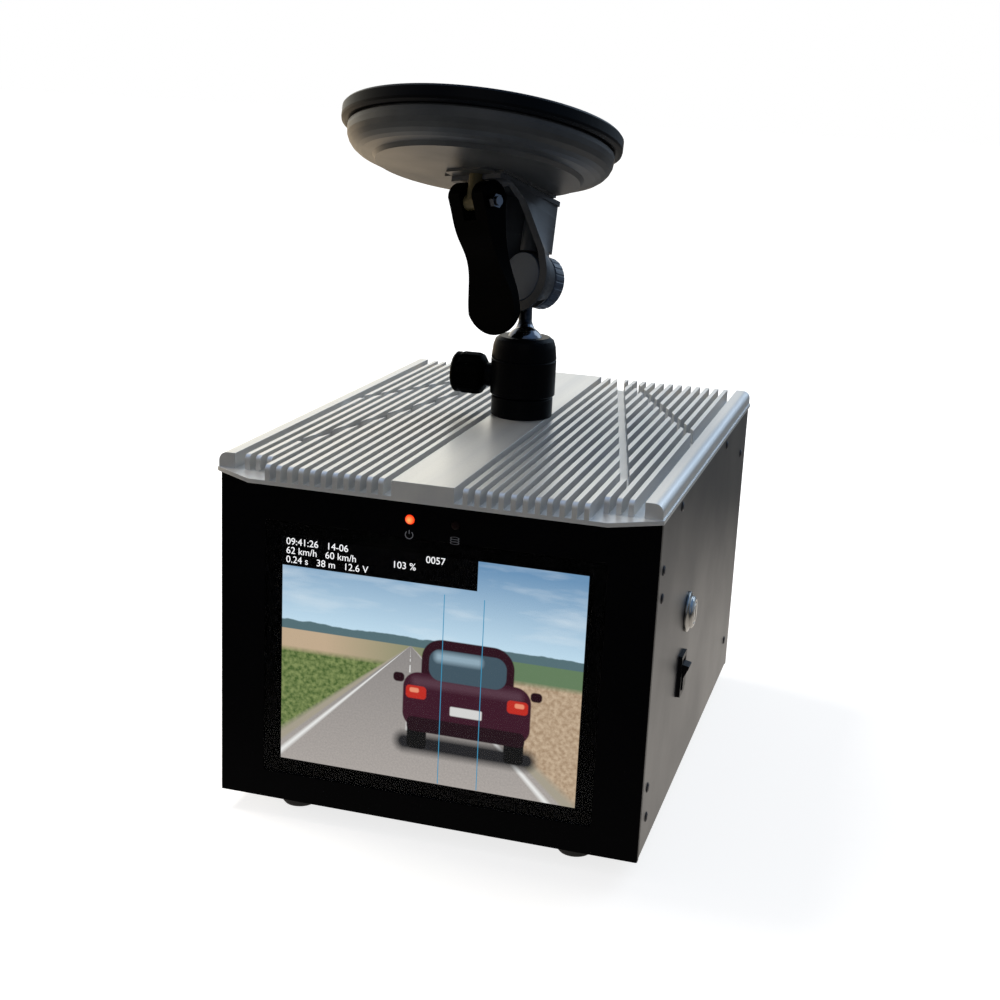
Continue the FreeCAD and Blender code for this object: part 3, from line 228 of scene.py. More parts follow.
floor_mesh = bpy.data.meshes.new("floor")
floor_shape = bmesh.new()
bmesh.ops.create_grid(floor_shape, x_segments=1, y_segments=1, size=FLOOR_HALF)
floor_shape.to_mesh(floor_mesh)
floor_shape.free()
floor = bpy.data.objects.new("floor", floor_mesh)
bpy.context.scene.collection.objects.link(floor)
floor.location.z = cad_low.z - FLOOR_GAP
print("floor at", round(floor.location.z, 4))

# %% Start a material
finishes = {}


def new_finish(name):
    """A new material: gives its node tree and its Principled BSDF."""
    material = bpy.data.materials.new(name)
    material.use_nodes = True
    finishes[name] = material
    return material.node_tree, material.node_tree.nodes["Principled BSDF"]


print("materials are kept by name")

# %% Make the paper
SUNLIGHT, LOW_SUN = (1.0, 0.93, 0.85, 1.0), (1.0, 0.78, 0.52, 1.0)
PAPER, MIRRORED_PAPER = (0.50, 0.50, 0.50, 1.0), (0.12, 0.12, 0.12, 1.0)

paper, paper_shader = new_finish("paper")
looked_at, mirrored = ray_kinds(paper)
away = vector_calc(paper, "LENGTH", object_point(paper))
spot = split(paper, object_point(paper))
glow_level = calc(paper, "MULTIPLY", looked_at, ranged(paper, away, 0.25, 0.9, 0.78, 1.0))
glow = mixed(paper, glow_level, BLACK, WHITE)
# The ranges are metres from the middle of the floor.
near_box = ranged(paper, away, 0.2, 0.65, 0.80, 0.05)
past_front = ranged(paper, spot["Y"], -0.35, -0.05, 0.05, 1.0)
sunlit = mixed(paper, calc(paper, "MULTIPLY", near_box, past_front), BLACK, SUNLIGHT)
far_left = ranged(paper, spot["X"], -0.18, -0.30)
far_back = ranged(paper, spot["Y"], 0.15, 0.35)
sunlit = mixed(paper, calc(paper, "MULTIPLY", far_left, far_back), sunlit, LOW_SUN)
paper_inputs = {
    "Base Color": mixed(paper, mirrored, PAPER, MIRRORED_PAPER),
    "Roughness": 0.9,
    "Specular IOR Level": 0.0,
    "Emission Color": mixed(paper, mirrored, glow, sunlit),
    "Emission Strength": 1.0,
}
connect(paper, paper_shader, paper_inputs)
floor_mesh.materials.append(finishes["paper"])
print(len(paper.nodes), "nodes make the paper")

# %% [markdown]
# A warm key lamp stands high on the left and a cool one behind the right shoulder of the box. A low
# warm one lights the mount from the left, and a weak one fills the front. The key and the low lamp are
# kept out of reflections, because they would burn white patches into the pale metal of the top.

# %% Hang the lamps
MIDDLE, MOUNT = (0.0, 0.0, 0.2), (-0.06, 0.0, 0.33)
WARM, PALE = (1.0, 0.95, 0.86), (1.0, 0.98, 0.95)
COOL, ORANGE = (0.66, 0.82, 1.0), (1.0, 0.78, 0.52)


def lamp(name, place, aim, size, power, colour, in_reflections=True):
    """A square soft box that faces a point."""
    data = bpy.data.lights.new(name, "AREA")
    data.size = size
    data.energy = power
    data.color = colour
    obj = bpy.data.objects.new(name, data)
    obj.location = place
    obj.rotation_euler = (Vector(aim) - Vector(place)).to_track_quat("-Z", "Y").to_euler()
    obj.visible_glossy = in_reflections
    bpy.context.scene.collection.objects.link(obj)
    print(name, "gives", power, "W")


lamp("key_light", (-1.10, 0.17, 2.00), MIDDLE, size=0.8, power=32, colour=WARM, in_reflections=False)
lamp("back_light", (1.05, 1.55, 1.35), MIDDLE, size=1.3, power=11, colour=COOL)
lamp("low_light", (-1.05, 0.05, 0.10), MOUNT, size=0.7, power=9, colour=ORANGE, in_reflections=False)
lamp("front_fill", (0.5, -2.3, 1.5), MIDDLE, size=1.8, power=3, colour=PALE)
bpy.context.scene.view_settings.view_transform = "Standard"

# %% [markdown]
# ## Shared effects
#
# Real surfaces differ in the same few ways, so each way is one node group with named sockets: streaks
# that a cutter or a brush leaves along a metal bar, the fine grain of paint or moulded plastic, slow
# clouds in tone and gloss from handling, and dust that settles on what faces up. The groups read Object
# coordinates, which are metres on every piece, so a pattern keeps its size from piece to piece.

# %% Make the group helpers
KINDS = {"value": "NodeSocketFloat", "vector": "NodeSocketVector", "colour": "NodeSocketColor"}


def new_group(name, inputs, outputs):
    """A group tree with named sockets. inputs is a list of (name, kind, default value)."""
    group = bpy.data.node_groups.new(name, "ShaderNodeTree")
    for label, kind, default in inputs:
        socket = group.interface.new_socket(name=label, in_out="INPUT", socket_type=KINDS[kind])
        socket.default_value = default
    for label, kind in outputs:
        group.interface.new_socket(name=label, in_out="OUTPUT", socket_type=KINDS[kind])
    ways_in = group.nodes.new("NodeGroupInput").outputs
    ways_out = group.nodes.new("NodeGroupOutput").inputs
    return group, ways_in, ways_out


def use(tree, group, **values):
    """Places a group in a material, with spaces in socket names written as underscores."""
    node = tree.nodes.new("ShaderNodeGroup")
    node.node_tree = group
    connect(tree, node, {key.replace("_", " "): value for key, value in values.items()})
    return node.outputs


print("a group's sockets can be", sorted(KINDS))

# %% Streaks along a metal bar
streaks, ways_in, ways_out = new_group(
    "streaks",
    [("Repeats per metre", "vector", (400.0, 8.0, 400.0)), ("Contrast", "value", 1.0)],
    [("Streaks", "value")],
)
stretched = vector_calc(streaks, "MULTIPLY", object_point(streaks), ways_in["Repeats per metre"])
centred = calc(streaks, "SUBTRACT", noise(streaks, stretched, scale=1.0, detail=3.0), 0.5)
scaled = calc(streaks, "MULTIPLY", centred, ways_in["Contrast"])
streaks.links.new(calc(streaks, "ADD", scaled, 0.5, clamp=True), ways_out["Streaks"])
print("streaks have", len(streaks.nodes), "nodes")

# %% Fine grain and slow clouds
grain, ways_in, ways_out = new_group("grain", [("Grains per metre", "value", 2500.0)], [("Height", "value")])
dots = noise(grain, object_point(grain), ways_in["Grains per metre"], detail=2.0)
grain.links.new(dots, ways_out["Height"])

clouds, ways_in, ways_out = new_group(
    "clouds",
    [("Clouds per metre", "value", 18.0), ("Lowest", "value", 0.3), ("Highest", "value", 0.5)],
    [("Value", "value")],
)
blobs = noise(clouds, object_point(clouds), ways_in["Clouds per metre"], detail=4.0)
# The noise seldom leaves 0.32 to 0.68, so this spreads it over the whole of the range asked for.
spread = ranged(clouds, blobs, 0.32, 0.68, ways_in["Lowest"], ways_in["Highest"])
clouds.links.new(spread, ways_out["Value"])
print("grain has", len(grain.nodes), "nodes and clouds have", len(clouds.nodes))

# %% Dust on what faces up
PATCHES_PER_METRE = 22.0

dust, ways_in, ways_out = new_group(
    "dust",
    [("Amount", "value", 0.3), ("Specks per metre", "value", 900.0)],
    [("Mask", "value")],
)
upward = split(dust, put(dust, "NewGeometry").outputs["Normal"])["Z"]
level = ranged(dust, upward, 0.55, 1.0)
specks = noise(dust, object_point(dust), ways_in["Specks per metre"], detail=5.0)
patches = noise(dust, object_point(dust), PATCHES_PER_METRE, detail=2.0)
layer = calc(dust, "MULTIPLY", ranged(dust, specks, 0.45, 0.72), patches)
layer = calc(dust, "MULTIPLY", layer, level)
dust.links.new(calc(dust, "MULTIPLY", layer, ways_in["Amount"], clamp=True), ways_out["Mask"])
print("groups", [g.name for g in bpy.data.node_groups])

# %% [markdown]
# ## One recipe for the plain finishes
#
# Paint, moulded plastic, rubber and plated steel differ in their numbers, not in their structure. Each
# has a colour that drifts a little, a gloss with soft clouds in it, a grain felt as a bump, and some
# dust. One function builds that structure, and each finish calls it with its own numbers.

# %% Make the finish recipe
DUST_COLOUR = (0.34, 0.33, 0.31, 1.0)
DUST_ROUGHNESS = 0.4
TONE_CLOUDS, GLOSS_CLOUDS = 30.0, 14.0


def bumped(tree, grains, relief, strength):
    """A normal for a surface with that many grains per metre, relief metres high."""
    height = use(tree, grain, Grains_per_metre=grains)["Height"]
    return put(tree, "Bump", {"Height": height, "Strength": strength, "Distance": relief}).outputs["Normal"]


def finish(name, colour, gloss, grains, relief=0.03, dusty=0.1, drift=0.12, shine=0.5, metallic=0.0):
    """A coated, moulded or plated finish.

    gloss is the lowest and highest roughness, grains how many there are per metre, relief their height
    in millimetres, dusty the share of dust, drift how far the colour wanders, and shine the specular
    level.
    """
    tree, shader = new_finish(name)
    darker = (*[c * (1 - drift) for c in colour], 1.0)
    lighter = (*[min(1.0, c * (1 + drift)) for c in colour], 1.0)
    cloudy = use(tree, clouds, Clouds_per_metre=TONE_CLOUDS, Lowest=0.0, Highest=1.0)["Value"]
    handled = use(tree, clouds, Clouds_per_metre=GLOSS_CLOUDS, Lowest=gloss[0], Highest=gloss[1])["Value"]
    fallen = use(tree, dust, Amount=dusty)["Mask"]
    dulled = calc(tree, "MULTIPLY", fallen, DUST_ROUGHNESS)
    inputs = {
        "Base Color": mixed(tree, fallen, mixed(tree, cloudy, darker, lighter), DUST_COLOUR),
        "Metallic": metallic,
        "Roughness": calc(tree, "ADD", handled, dulled),
        "Specular IOR Level": shine,
        "Normal": bumped(tree, grains, relief / 1000, strength=0.6),
    }
    connect(tree, shader, inputs)


print("the recipe uses", grain.name, clouds.name, "and", dust.name)

# %% Dress the solids
def dress(finish_name, *solids):
    """Gives solids a finish in every material slot."""
    for name in solids:
        slots = nodes[name].data.materials
        if not slots:
            slots.append(finishes[finish_name])
        for k in range(len(slots)):
            slots[k] = finishes[finish_name]


print(len(nodes), "solids to dress")

# %% [markdown]
# ## Case, switch and feet
#
# The walls are powder coated, which is satin with a fine orange-peel. The front frame is a smoother and
# deeper black that mirrors almost nothing. The rocker switch, the supply socket and the camera's lens
# barrel are moulded plastic, and the feet are soft rubber, which is rougher and holds more dust. All are
# calls of the one recipe, because only their colour, gloss and grain differ.

# %% Coat the case
finish("wall_paint", (0.016, 0.016, 0.017), (0.30, 0.38), grains=1600, dusty=0.12)
dress("wall_paint", "side_panel_right", "side_panel_left", "rear_panel", "base_plate", "camera_window_frame")
finish("frame_paint", (0.0015, 0.0015, 0.002), (0.26, 0.34), grains=900, relief=0.01, dusty=0.0, shine=0.03)
dress("frame_paint", "front_bezel")
finish("switch_plastic", (0.003, 0.003, 0.004), (0.30, 0.40), grains=1800, dusty=0.02, shine=0.12)
dress("switch_plastic", "rocker_frame", "rocker_paddle")
finish("socket_plastic", (0.012, 0.012, 0.014), (0.4, 0.55), grains=1800, dusty=0.05)
dress("socket_plastic", "supply_socket", "camera_lens")
finish("foot_rubber", (0.012, 0.012, 0.012), (0.6, 0.8), grains=1500, relief=0.06, dusty=0.2)
dress("foot_rubber", "foot_front_left", "foot_front_right", "foot_rear_left", "foot_rear_right")
print(len(finishes), "finishes so far")

# %% [markdown]
# ## The mount
#
# The ball head is black anodised aluminium with a pad of pale nylon in it. Its knob and the cup's lever
# are a deep black plastic, the cup's disc is smooth black rubber, and the stud that pulls it is brown.
# The domed shell, the bracket and the swivel eye are glass-filled nylon: dark grey, slightly uneven in
# tone, and each a little different, because they are moulded apart.

# %% Mould the mount
finish("head_paint", (0.0015, 0.0016, 0.002), (0.26, 0.36), grains=2600, relief=0.012, dusty=0.01, shine=0.04)
dress("head_paint", "pan_base", "ball_housing", "ball_collar")
finish("lever_plastic", (0.001, 0.001, 0.001), (0.34, 0.46), grains=1500, dusty=0.0, shine=0.01)
dress("lever_plastic", "clamp_lever", "lock_knob")
finish("disc_rubber", (0.0012, 0.0014, 0.0020), (0.30, 0.42), grains=1200, dusty=0.04, shine=0.08)
dress("disc_rubber", "suction_rubber", "cup_centre")
finish("mount_plastic", (0.042, 0.045, 0.048), (0.28, 0.42), grains=1400, dusty=0.12, drift=0.25, shine=0.32)
dress("mount_plastic", "dome_cover")
finish("bracket_plastic", (0.040, 0.045, 0.053), (0.34, 0.46), grains=1400, dusty=0.08, shine=0.12)
dress("bracket_plastic", "mount_bracket")
finish("eye_plastic", (0.030, 0.043, 0.070), (0.30, 0.42), grains=1400, dusty=0.08, shine=0.30)
dress("eye_plastic", "pivot_eye", "pivot_knob")
finish("stud_plastic", (0.060, 0.050, 0.024), (0.35, 0.5), grains=1400, dusty=0.05, shine=0.2)
dress("stud_plastic", "pull_stud")
finish("nylon", (0.72, 0.70, 0.64), (0.4, 0.55), grains=1400)
dress("nylon", "clamp_pad")
print(len(finishes), "finishes so far")

# %% [markdown]
# ## Behind and inside
#
# The radar looks out through a grey plastic cover, which radio waves pass and metal would stop. The
# circuit boards have a green lacquer that pools between the tracks, so it drifts more in tone and has
# a coarser grain than any paint.

# %% Mould the radar cover and lacquer the boards
finish("radome_plastic", (0.115, 0.120, 0.128), (0.48, 0.62), grains=1100, relief=0.05, dusty=0.15)
dress("radome_plastic", "radome_cover")
finish("circuit_board", (0.020, 0.120, 0.060), (0.25, 0.45), grains=700, relief=0.05, drift=0.3)
dress("circuit_board", "main_board", "power_board", "indicator_board", "radar_antenna")
print(len(finishes), "finishes so far")

# %% [markdown]
# ## Plated metals
#
# Bolts and foot screws are bright zinc, and the screws in the black walls are black zinc. The key
# switch is chromed. Brackets, posts and the cans round the electronics are bare sheet steel, and the
# head's lock screw and the lever's pin are darker hardened steel. A metal has no colour of its own under
# its shine, so Metallic is 1 and the base colour is the tint of what it mirrors.

# %% Plate the metals
finish("zinc", (0.46, 0.46, 0.47), (0.25, 0.40), grains=2000, relief=0.01, metallic=1.0)
dress("zinc", "foot_screws", "pan_screw", "bracket_screws", "pivot_bolt")
finish("black_zinc", (0.045, 0.045, 0.050), (0.32, 0.45), grains=2000, relief=0.01, dusty=0.05, metallic=1.0)
dress("black_zinc", "side_screws", "rear_screws")
finish(
    "chrome", (0.33, 0.32, 0.30), (0.10, 0.22), grains=900, relief=0.004, dusty=0.05, drift=0.05, metallic=1.0
)
dress("chrome", "key_switch_housing", "key_switch_core")
finish("sheet_steel", (0.40, 0.41, 0.43), (0.3, 0.45), grains=1400, relief=0.01, metallic=1.0)
dress("sheet_steel", "key_switch_nut", "lcd_frame", "hard_disk_bracket", "camera_bracket", "network_socket")
dress("sheet_steel", "usb_sockets", "camera_body", "hard_disk", "corner_posts", "board_posts")
finish("screw_steel", (0.10, 0.11, 0.13), (0.16, 0.28), grains=1400, relief=0.004, metallic=1.0)
dress("screw_steel", "lock_screw", "lever_pin")
print(len(finishes), "finishes so far")

# %% [markdown]
# ## The ball and its stem
#
# The ball is polished and plated dark, and its stem is blackened. The change comes at the waist, so the
# finish is mixed by the distance from the middle of the ball, which is where the ball's joint turns.
# The blackening is rubbed thin in places by handling.

# %% Mix the two-tone steel
WAIST_START, WAIST_END = 0.0118, 0.0124
PLATED, BLACKENED = (0.15, 0.15, 0.16, 1.0), (0.008, 0.009, 0.012, 1.0)
POLISHED, SATIN = 0.12, 0.34

ball_centre = Vector(next(j["pos_m"] for j in frame["joints"] if j["name"] == "ball_tilt"))
tree, shader = new_finish("two_tone_steel")
from_ball = vector_calc(tree, "DISTANCE", object_point(tree), tuple(ball_centre))
rubbed = use(tree, clouds, Clouds_per_metre=260.0, Lowest=0.85, Highest=1.0)["Value"]
blackened = calc(tree, "MULTIPLY", ranged(tree, from_ball, WAIST_START, WAIST_END), rubbed)
two_tone_inputs = {
    "Base Color": mixed(tree, blackened, PLATED, BLACKENED),
    "Metallic": 1.0,
    "Roughness": ranged(tree, blackened, 0.0, 1.0, POLISHED, SATIN),
}
connect(tree, shader, two_tone_inputs)
dress("two_tone_steel", "ball_stud")
print("the ball turns about", tuple(round(v, 4) for v in ball_centre))

# %% [markdown]
# ## The finned top
#
# The top is one aluminium extrusion with clear anodising. Its fins were drawn through a die, so the
# streaks run from front to back, and the flat pad down the middle is brushed the same way. Long streaks
# in tone and gloss are stronger than fine grain. The fine light lines are the die's own streaks, but the
# wide light and dark bands are painted reflection: the room that the pale metal mirrors, laid into its
# colour. The clear skin is a milky oxide and not bare metal, so Metallic stays well below 1.

# %% Mix the anodised aluminium
# The metal's own tone runs between these two, and the wide bands between them are painted reflection.
TONE_AND_REFLECTION_DARK, TONE_AND_REFLECTION_LIGHT = (0.56, 0.57, 0.59, 1.0), (0.80, 0.79, 0.75, 1.0)
STREAK_LIGHT = (0.88, 0.86, 0.81, 1.0)
TOP_DUST = (0.42, 0.41, 0.39, 1.0)

tree, shader = new_finish("anodised")
long_lines = use(tree, streaks, Repeats_per_metre=(800.0, 4.0, 800.0), Contrast=0.9)["Streaks"]
# Painted reflection: wide lighter and darker bands along the fins stand in for the mirrored room.
painted_reflection_bands = use(tree, streaks, Repeats_per_metre=(70.0, 1.2, 40.0), Contrast=1.3)["Streaks"]
tone_and_reflection = mixed(tree, painted_reflection_bands, TONE_AND_REFLECTION_DARK, TONE_AND_REFLECTION_LIGHT)
tone_and_reflection = mixed(tree, calc(tree, "MULTIPLY", long_lines, 0.25), tone_and_reflection, STREAK_LIGHT)
fallen = use(tree, dust, Amount=0.25)["Mask"]
anodised_inputs = {
    "Base Color": mixed(tree, fallen, tone_and_reflection, TOP_DUST),
    "Metallic": 0.62,
    "Roughness": ranged(tree, long_lines, 0.2, 0.8, 0.27, 0.42),
    "Normal": bumped(tree, 1800.0, 0.00001, strength=0.4),
}
connect(tree, shader, anodised_inputs)
dress("anodised", "heatsink_top", "thermal_block")
print(len(tree.nodes), "nodes make the anodising")

# %% [markdown]
# ## Glass
#
# The window is a clear acrylic sheet over the screen, with a coating that cuts its reflections, so it
# bends and mirrors light very little. It keeps a plain transmission, and only its gloss and its tint
# change a little, so the picture behind it stays sharp.

# %% Mix the glass
COATED_IOR = 1.12


def clear_sheet(name, tint):
    """A coated clear plastic, tinted in soft clouds."""
    tree, shader = new_finish(name)
    cloudy = use(tree, clouds, Clouds_per_metre=25.0)["Value"]
    inputs = {
        "Base Color": mixed(tree, cloudy, tint, WHITE),
        "Roughness": use(tree, clouds, Clouds_per_metre=60.0, Lowest=0.0, Highest=0.012)["Value"],
        "IOR": COATED_IOR,
        "Transmission Weight": 1.0,
    }
    connect(tree, shader, inputs)


clear_sheet("window_acrylic", tint=(0.96, 0.97, 0.98, 1.0))
clear_sheet("camera_pane", tint=(0.80, 0.86, 0.84, 1.0))
dress("window_acrylic", "display_window")
dress("camera_pane", "camera_window")
print("two clear sheets of index", COATED_IOR)

# %% [markdown]
# ## The lamps
#
# Each indicator is a red lens over a small diode. The left one is lit: its light gathers in the middle
# of the lens, so the emission falls off from the centre. The right one is off and looks almost black.

# %% Light the indicators
GLOW_SHARE = 0.8
DEEP_RED, ORANGE_RED = (0.80, 0.015, 0.0, 1.0), (1.0, 0.30, 0.08, 1.0)
DARK_RIM, DARK_MIDDLE = (0.004, 0.001, 0.001, 1.0), (0.010, 0.002, 0.002, 1.0)


def lens(name, node, rim, middle, power):
    """A lens that glows in its middle. With a power of 0 it is dark and less glossy."""
    low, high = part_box(node)
    centre = (low + high) / 2
    radius = (high.x - low.x) / 2
    tree, shader = new_finish(name)
    offset = vector_calc(tree, "SUBTRACT", object_point(tree), tuple(centre))
    reach = vector_calc(tree, "LENGTH", vector_calc(tree, "MULTIPLY", offset, (1.0, 0.0, 1.0)))
    colour = mixed(tree, ranged(tree, reach, 0.0, radius * GLOW_SHARE, 1.0, 0.0), rim, middle)
    inputs = {
        "Base Color": colour,
        "Roughness": 0.12 if power else 0.5,
        "Specular IOR Level": 0.5 if power else 0.1,
        "Emission Color": colour,
        "Emission Strength": power,
    }
    connect(tree, shader, inputs)
    dress(name, node)
    print(name, "is", round(2000 * radius, 1), "mm wide and glows with", power)


lens("lit_lens", "power_indicator", rim=DEEP_RED, middle=ORANGE_RED, power=1.3)
lens("dark_lens", "disk_indicator", rim=DARK_RIM, middle=DARK_MIDDLE, power=0.0)

# %% [markdown]
# ## The picture on the screen
#
# The screen shows what the camera sees: a road, fields and a sky. It is drawn with masks, not with an
# image. Picture coordinates have their origin at the middle of the screen and their unit is its width.
# A soft-edged box is the brush for everything, so it is one group, used again for each patch.

# %% Make the brush
brush, ways_in, ways_out = new_group(
    "brush",
    [
        ("Point", "vector", (0.0, 0.0, 0.0)),
        ("Centre", "vector", (0.0, 0.0, 0.0)),
        ("Half size", "vector", (0.1, 0.1, 0.0)),
        ("Corner", "value", 0.01),
        ("Blur", "value", 0.004),
    ],
    [("Mask", "value")],
)
from_centre = vector_calc(brush, "SUBTRACT", ways_in["Point"], ways_in["Centre"])
folded = vector_calc(brush, "ABSOLUTE", from_centre)
beyond = split(brush, vector_calc(brush, "SUBTRACT", folded, ways_in["Half size"]))
# A rounded box is every point within the corner's radius of a smaller, sharp box.
past_x = calc(brush, "MAXIMUM", calc(brush, "ADD", beyond["X"], ways_in["Corner"]), 0.0)
past_y = calc(brush, "MAXIMUM", calc(brush, "ADD", beyond["Y"], ways_in["Corner"]), 0.0)
squares = calc(brush, "MULTIPLY", past_x, past_x), calc(brush, "MULTIPLY", past_y, past_y)
reach = calc(brush, "SQRT", calc(brush, "ADD", *squares))
outside = calc(brush, "SUBTRACT", reach, ways_in["Corner"])
edge = calc(brush, "DIVIDE", outside, ways_in["Blur"])
brush.links.new(calc(brush, "SUBTRACT", 0.5, edge, clamp=True), ways_out["Mask"])
print("the brush has", len(brush.nodes), "nodes")

# %% Set up the picture plane
PICTURE_W, PICTURE_H = 0.162, 0.124

canvas, canvas_shader = new_finish("screen_picture")
from_screen = vector_calc(canvas, "SUBTRACT", object_point(canvas), tuple(SCREEN))
axes = split(canvas, vector_calc(canvas, "MULTIPLY", from_screen, [1.0 / PICTURE_W] * 3))
across, up = axes["X"], axes["Z"]
point = put(canvas, "CombineXYZ", {"X": across, "Y": up}).outputs[0]

# The helpers, with the picture's own tree already given.
maths = partial(calc, canvas)
ramp = partial(ranged, canvas)
blend = partial(mixed, canvas)
texture = partial(noise, canvas)


def dab(picture_so_far, colour, centre, half, corner=0.01, blur=0.004):
    """Paints one soft box."""
    shape = {"Centre": (*centre, 0), "Half_size": (*half, 0), "Corner": corner, "Blur": blur}
    return blend(use(canvas, brush, Point=point, **shape)["Mask"], picture_so_far, (*colour, 1.0))


print("the picture is", PICTURE_W, "by", PICTURE_H, "m")

# %% [markdown]
# The sky is a gradient with long thin clouds, and the hills stop at a ridge that noise makes uneven.
# Below the horizon lies a far field, and nearer the camera rough grass with bare soil on the right.

# %% Paint the sky and the hills
HORIZON = 0.075
SKY_TOP = 0.36
RIDGE_LIFT, RIDGE_WOBBLE = 0.012, 0.035
SKY_LOW, SKY_HIGH = (0.60, 0.80, 0.93, 1), (0.16, 0.31, 0.50, 1)
CLOUD, HILL = (0.85, 0.92, 0.96, 1), (0.10, 0.17, 0.19, 1)

paint = blend(ramp(up, HORIZON, SKY_TOP), SKY_LOW, SKY_HIGH)
stretched = put(canvas, "Mapping", {"Vector": point, "Scale": (3.0, 14.0, 1.0)}).outputs[0]
thin_clouds = ramp(texture(stretched, scale=1.0, detail=5.0), 0.5, 0.75, high=0.5)
paint = blend(thin_clouds, paint, CLOUD)
wobble = maths("MULTIPLY", texture(point, scale=9.0, detail=4.0), RIDGE_WOBBLE)
ridge = maths("ADD", HORIZON + RIDGE_LIFT, wobble)
paint = blend(ramp(maths("SUBTRACT", ridge, up), 0.0, 0.004), paint, HILL)
print("the sky is above", HORIZON, "picture widths")

# %% Paint the land
FIELD_DEPTH = 0.06
FIELD_LEFT, FIELD_RIGHT = (0.57, 0.43, 0.29, 1), (0.138, 0.223, 0.119, 1)
GRASS_DARK, GRASS_LIGHT = (0.075, 0.13, 0.035, 1), (0.24, 0.30, 0.11, 1)
SOIL_DARK, SOIL_LIGHT = (0.40, 0.28, 0.18, 1), (0.60, 0.46, 0.32, 1)

land = ramp(maths("SUBTRACT", HORIZON, up), 0.0, 0.003)
paint = blend(land, paint, blend(ramp(across, -0.35, 0.1), FIELD_LEFT, FIELD_RIGHT))
tufts = ramp(texture(point, scale=70.0, detail=5.0), 0.35, 0.65)
grass = blend(tufts, GRASS_DARK, GRASS_LIGHT)
soil = blend(tufts, SOIL_DARK, SOIL_LIGHT)
near = ramp(maths("SUBTRACT", HORIZON - FIELD_DEPTH, up), 0.0, 0.02)
paint = blend(near, paint, blend(ramp(across, 0.12, 0.20), grass, soil))
print("the far field ends at", round(HORIZON - FIELD_DEPTH, 3))

# %% [markdown]
# A road seen from a car narrows to a vanishing point on the horizon. Dividing the way across by the
# depth below the horizon undoes that, so the lane numbers stay the same all along the road, and a
# stripe is a range of lane numbers. One over the depth is the distance ahead, which spaces the dashes.

# %% Lay the road in perspective
VANISH_X = -0.06
LEAST_DEPTH = 0.0008
VERGE_HALF, ROAD_HALF, EDGE_LINE = 1.25, 1.12, 1.02
DASH_RATE, DASH_GAP = 0.13, 0.45
VERGE, GRIT, CHALK = (0.40, 0.36, 0.28, 1), (0.16, 0.16, 0.16, 1), (0.86, 0.86, 0.84, 1)
TAR_FAR, TAR_NEAR = (0.30, 0.28, 0.27, 1), (0.46, 0.42, 0.39, 1)

depth = maths("MAXIMUM", maths("SUBTRACT", HORIZON, up), LEAST_DEPTH)
lane = maths("DIVIDE", maths("SUBTRACT", across, VANISH_X), depth)


def stripe(centre, half, soft=0.02):
    """A mask along the road. Its place and half width are lane numbers."""
    off = maths("ABSOLUTE", maths("SUBTRACT", lane, centre))
    return maths("MULTIPLY", ramp(off, half + soft, half - soft), land)


tar = blend(ramp(depth, 0.0, 0.45), TAR_FAR, TAR_NEAR)
tar = blend(ramp(texture(point, scale=160.0, detail=3.0), 0.3, 0.7, high=0.25), tar, GRIT)
paint = blend(stripe(0.0, VERGE_HALF, soft=0.05), paint, VERGE)
paint = blend(stripe(0.0, ROAD_HALF), paint, tar)
for edge_line in (-EDGE_LINE, EDGE_LINE):
    paint = blend(stripe(edge_line, half=0.025), paint, CHALK)
dash = maths("GREATER_THAN", maths("FRACT", maths("DIVIDE", DASH_RATE, depth)), DASH_GAP)
paint = blend(maths("MULTIPLY", stripe(0.0, half=0.022), dash), paint, CHALK)
print("the road meets the horizon at", VANISH_X)

# %% [markdown]
# The camera watches a vehicle ahead. It is a plain dark hatchback seen from behind, made of a dozen
# dabs: a shadow, tyres, body, window, lamps, bumper and a bare plate. Two light blue lines mark the zone
# that is measured, and a black strip along the top carries the readings.

# %% Paint a vehicle
CAR = Vector((0.13, -0.115))
CAR_SCALE = 1.55
ONE, BOTH = (1,), (-1, 1)
# Each part has its sides, colour, centre, half width and height, corner radius and blur.
CAR_PARTS = {
    "shadow": (ONE, (0.020, 0.020, 0.022), (0.0, -0.088), (0.150, 0.020), 0.020, 0.030),
    "tyre": (BOTH, (0.008, 0.008, 0.008), (0.104, -0.070), (0.021, 0.030), 0.010, 0.004),
    "cabin": (ONE, (0.030, 0.008, 0.014), (0.0, 0.085), (0.098, 0.060), 0.045, 0.004),
    "body": (ONE, (0.050, 0.012, 0.024), (0.0, 0.006), (0.136, 0.062), 0.035, 0.004),
    "shoulder": (ONE, (0.100, 0.045, 0.065), (0.0, 0.048), (0.118, 0.010), 0.010, 0.020),
    "window": (ONE, (0.060, 0.100, 0.130), (0.0, 0.090), (0.082, 0.034), 0.025, 0.004),
    "window glare": (ONE, (0.300, 0.420, 0.500), (-0.02, 0.108), (0.050, 0.010), 0.008, 0.020),
    "lamp": (BOTH, (0.550, 0.030, 0.020), (0.108, 0.024), (0.022, 0.014), 0.008, 0.004),
    "lamp glare": (BOTH, (0.850, 0.300, 0.180), (0.112, 0.028), (0.010, 0.005), 0.004, 0.004),
    "mirror": (BOTH, (0.020, 0.006, 0.010), (0.146, 0.052), (0.012, 0.010), 0.008, 0.004),
    "bumper": (ONE, (0.020, 0.008, 0.012), (0.0, -0.046), (0.126, 0.016), 0.012, 0.004),
    "plate": (ONE, (0.700, 0.700, 0.680), (0.0, -0.006), (0.034, 0.010), 0.003, 0.004),
}

for sides, colour, (x, z), half, corner, blur in CAR_PARTS.values():
    for side in sides:
        centre = CAR + CAR_SCALE * Vector((side * x, z))
        paint = dab(paint, colour, centre, [CAR_SCALE * h for h in half], CAR_SCALE * corner, blur)
print("the vehicle has", list(CAR_PARTS))

# %% Paint the lines and the strip
LINE_BLUE = (0.05, 0.30, 0.50)
ZONE_X, ZONE_HALF = CAR.x - 0.02, 0.065
STRIP_CENTRE, STRIP_HALF = (-0.175, 0.334), (0.325, 0.049)
CRISP = 0.001
FADE = 0.0015

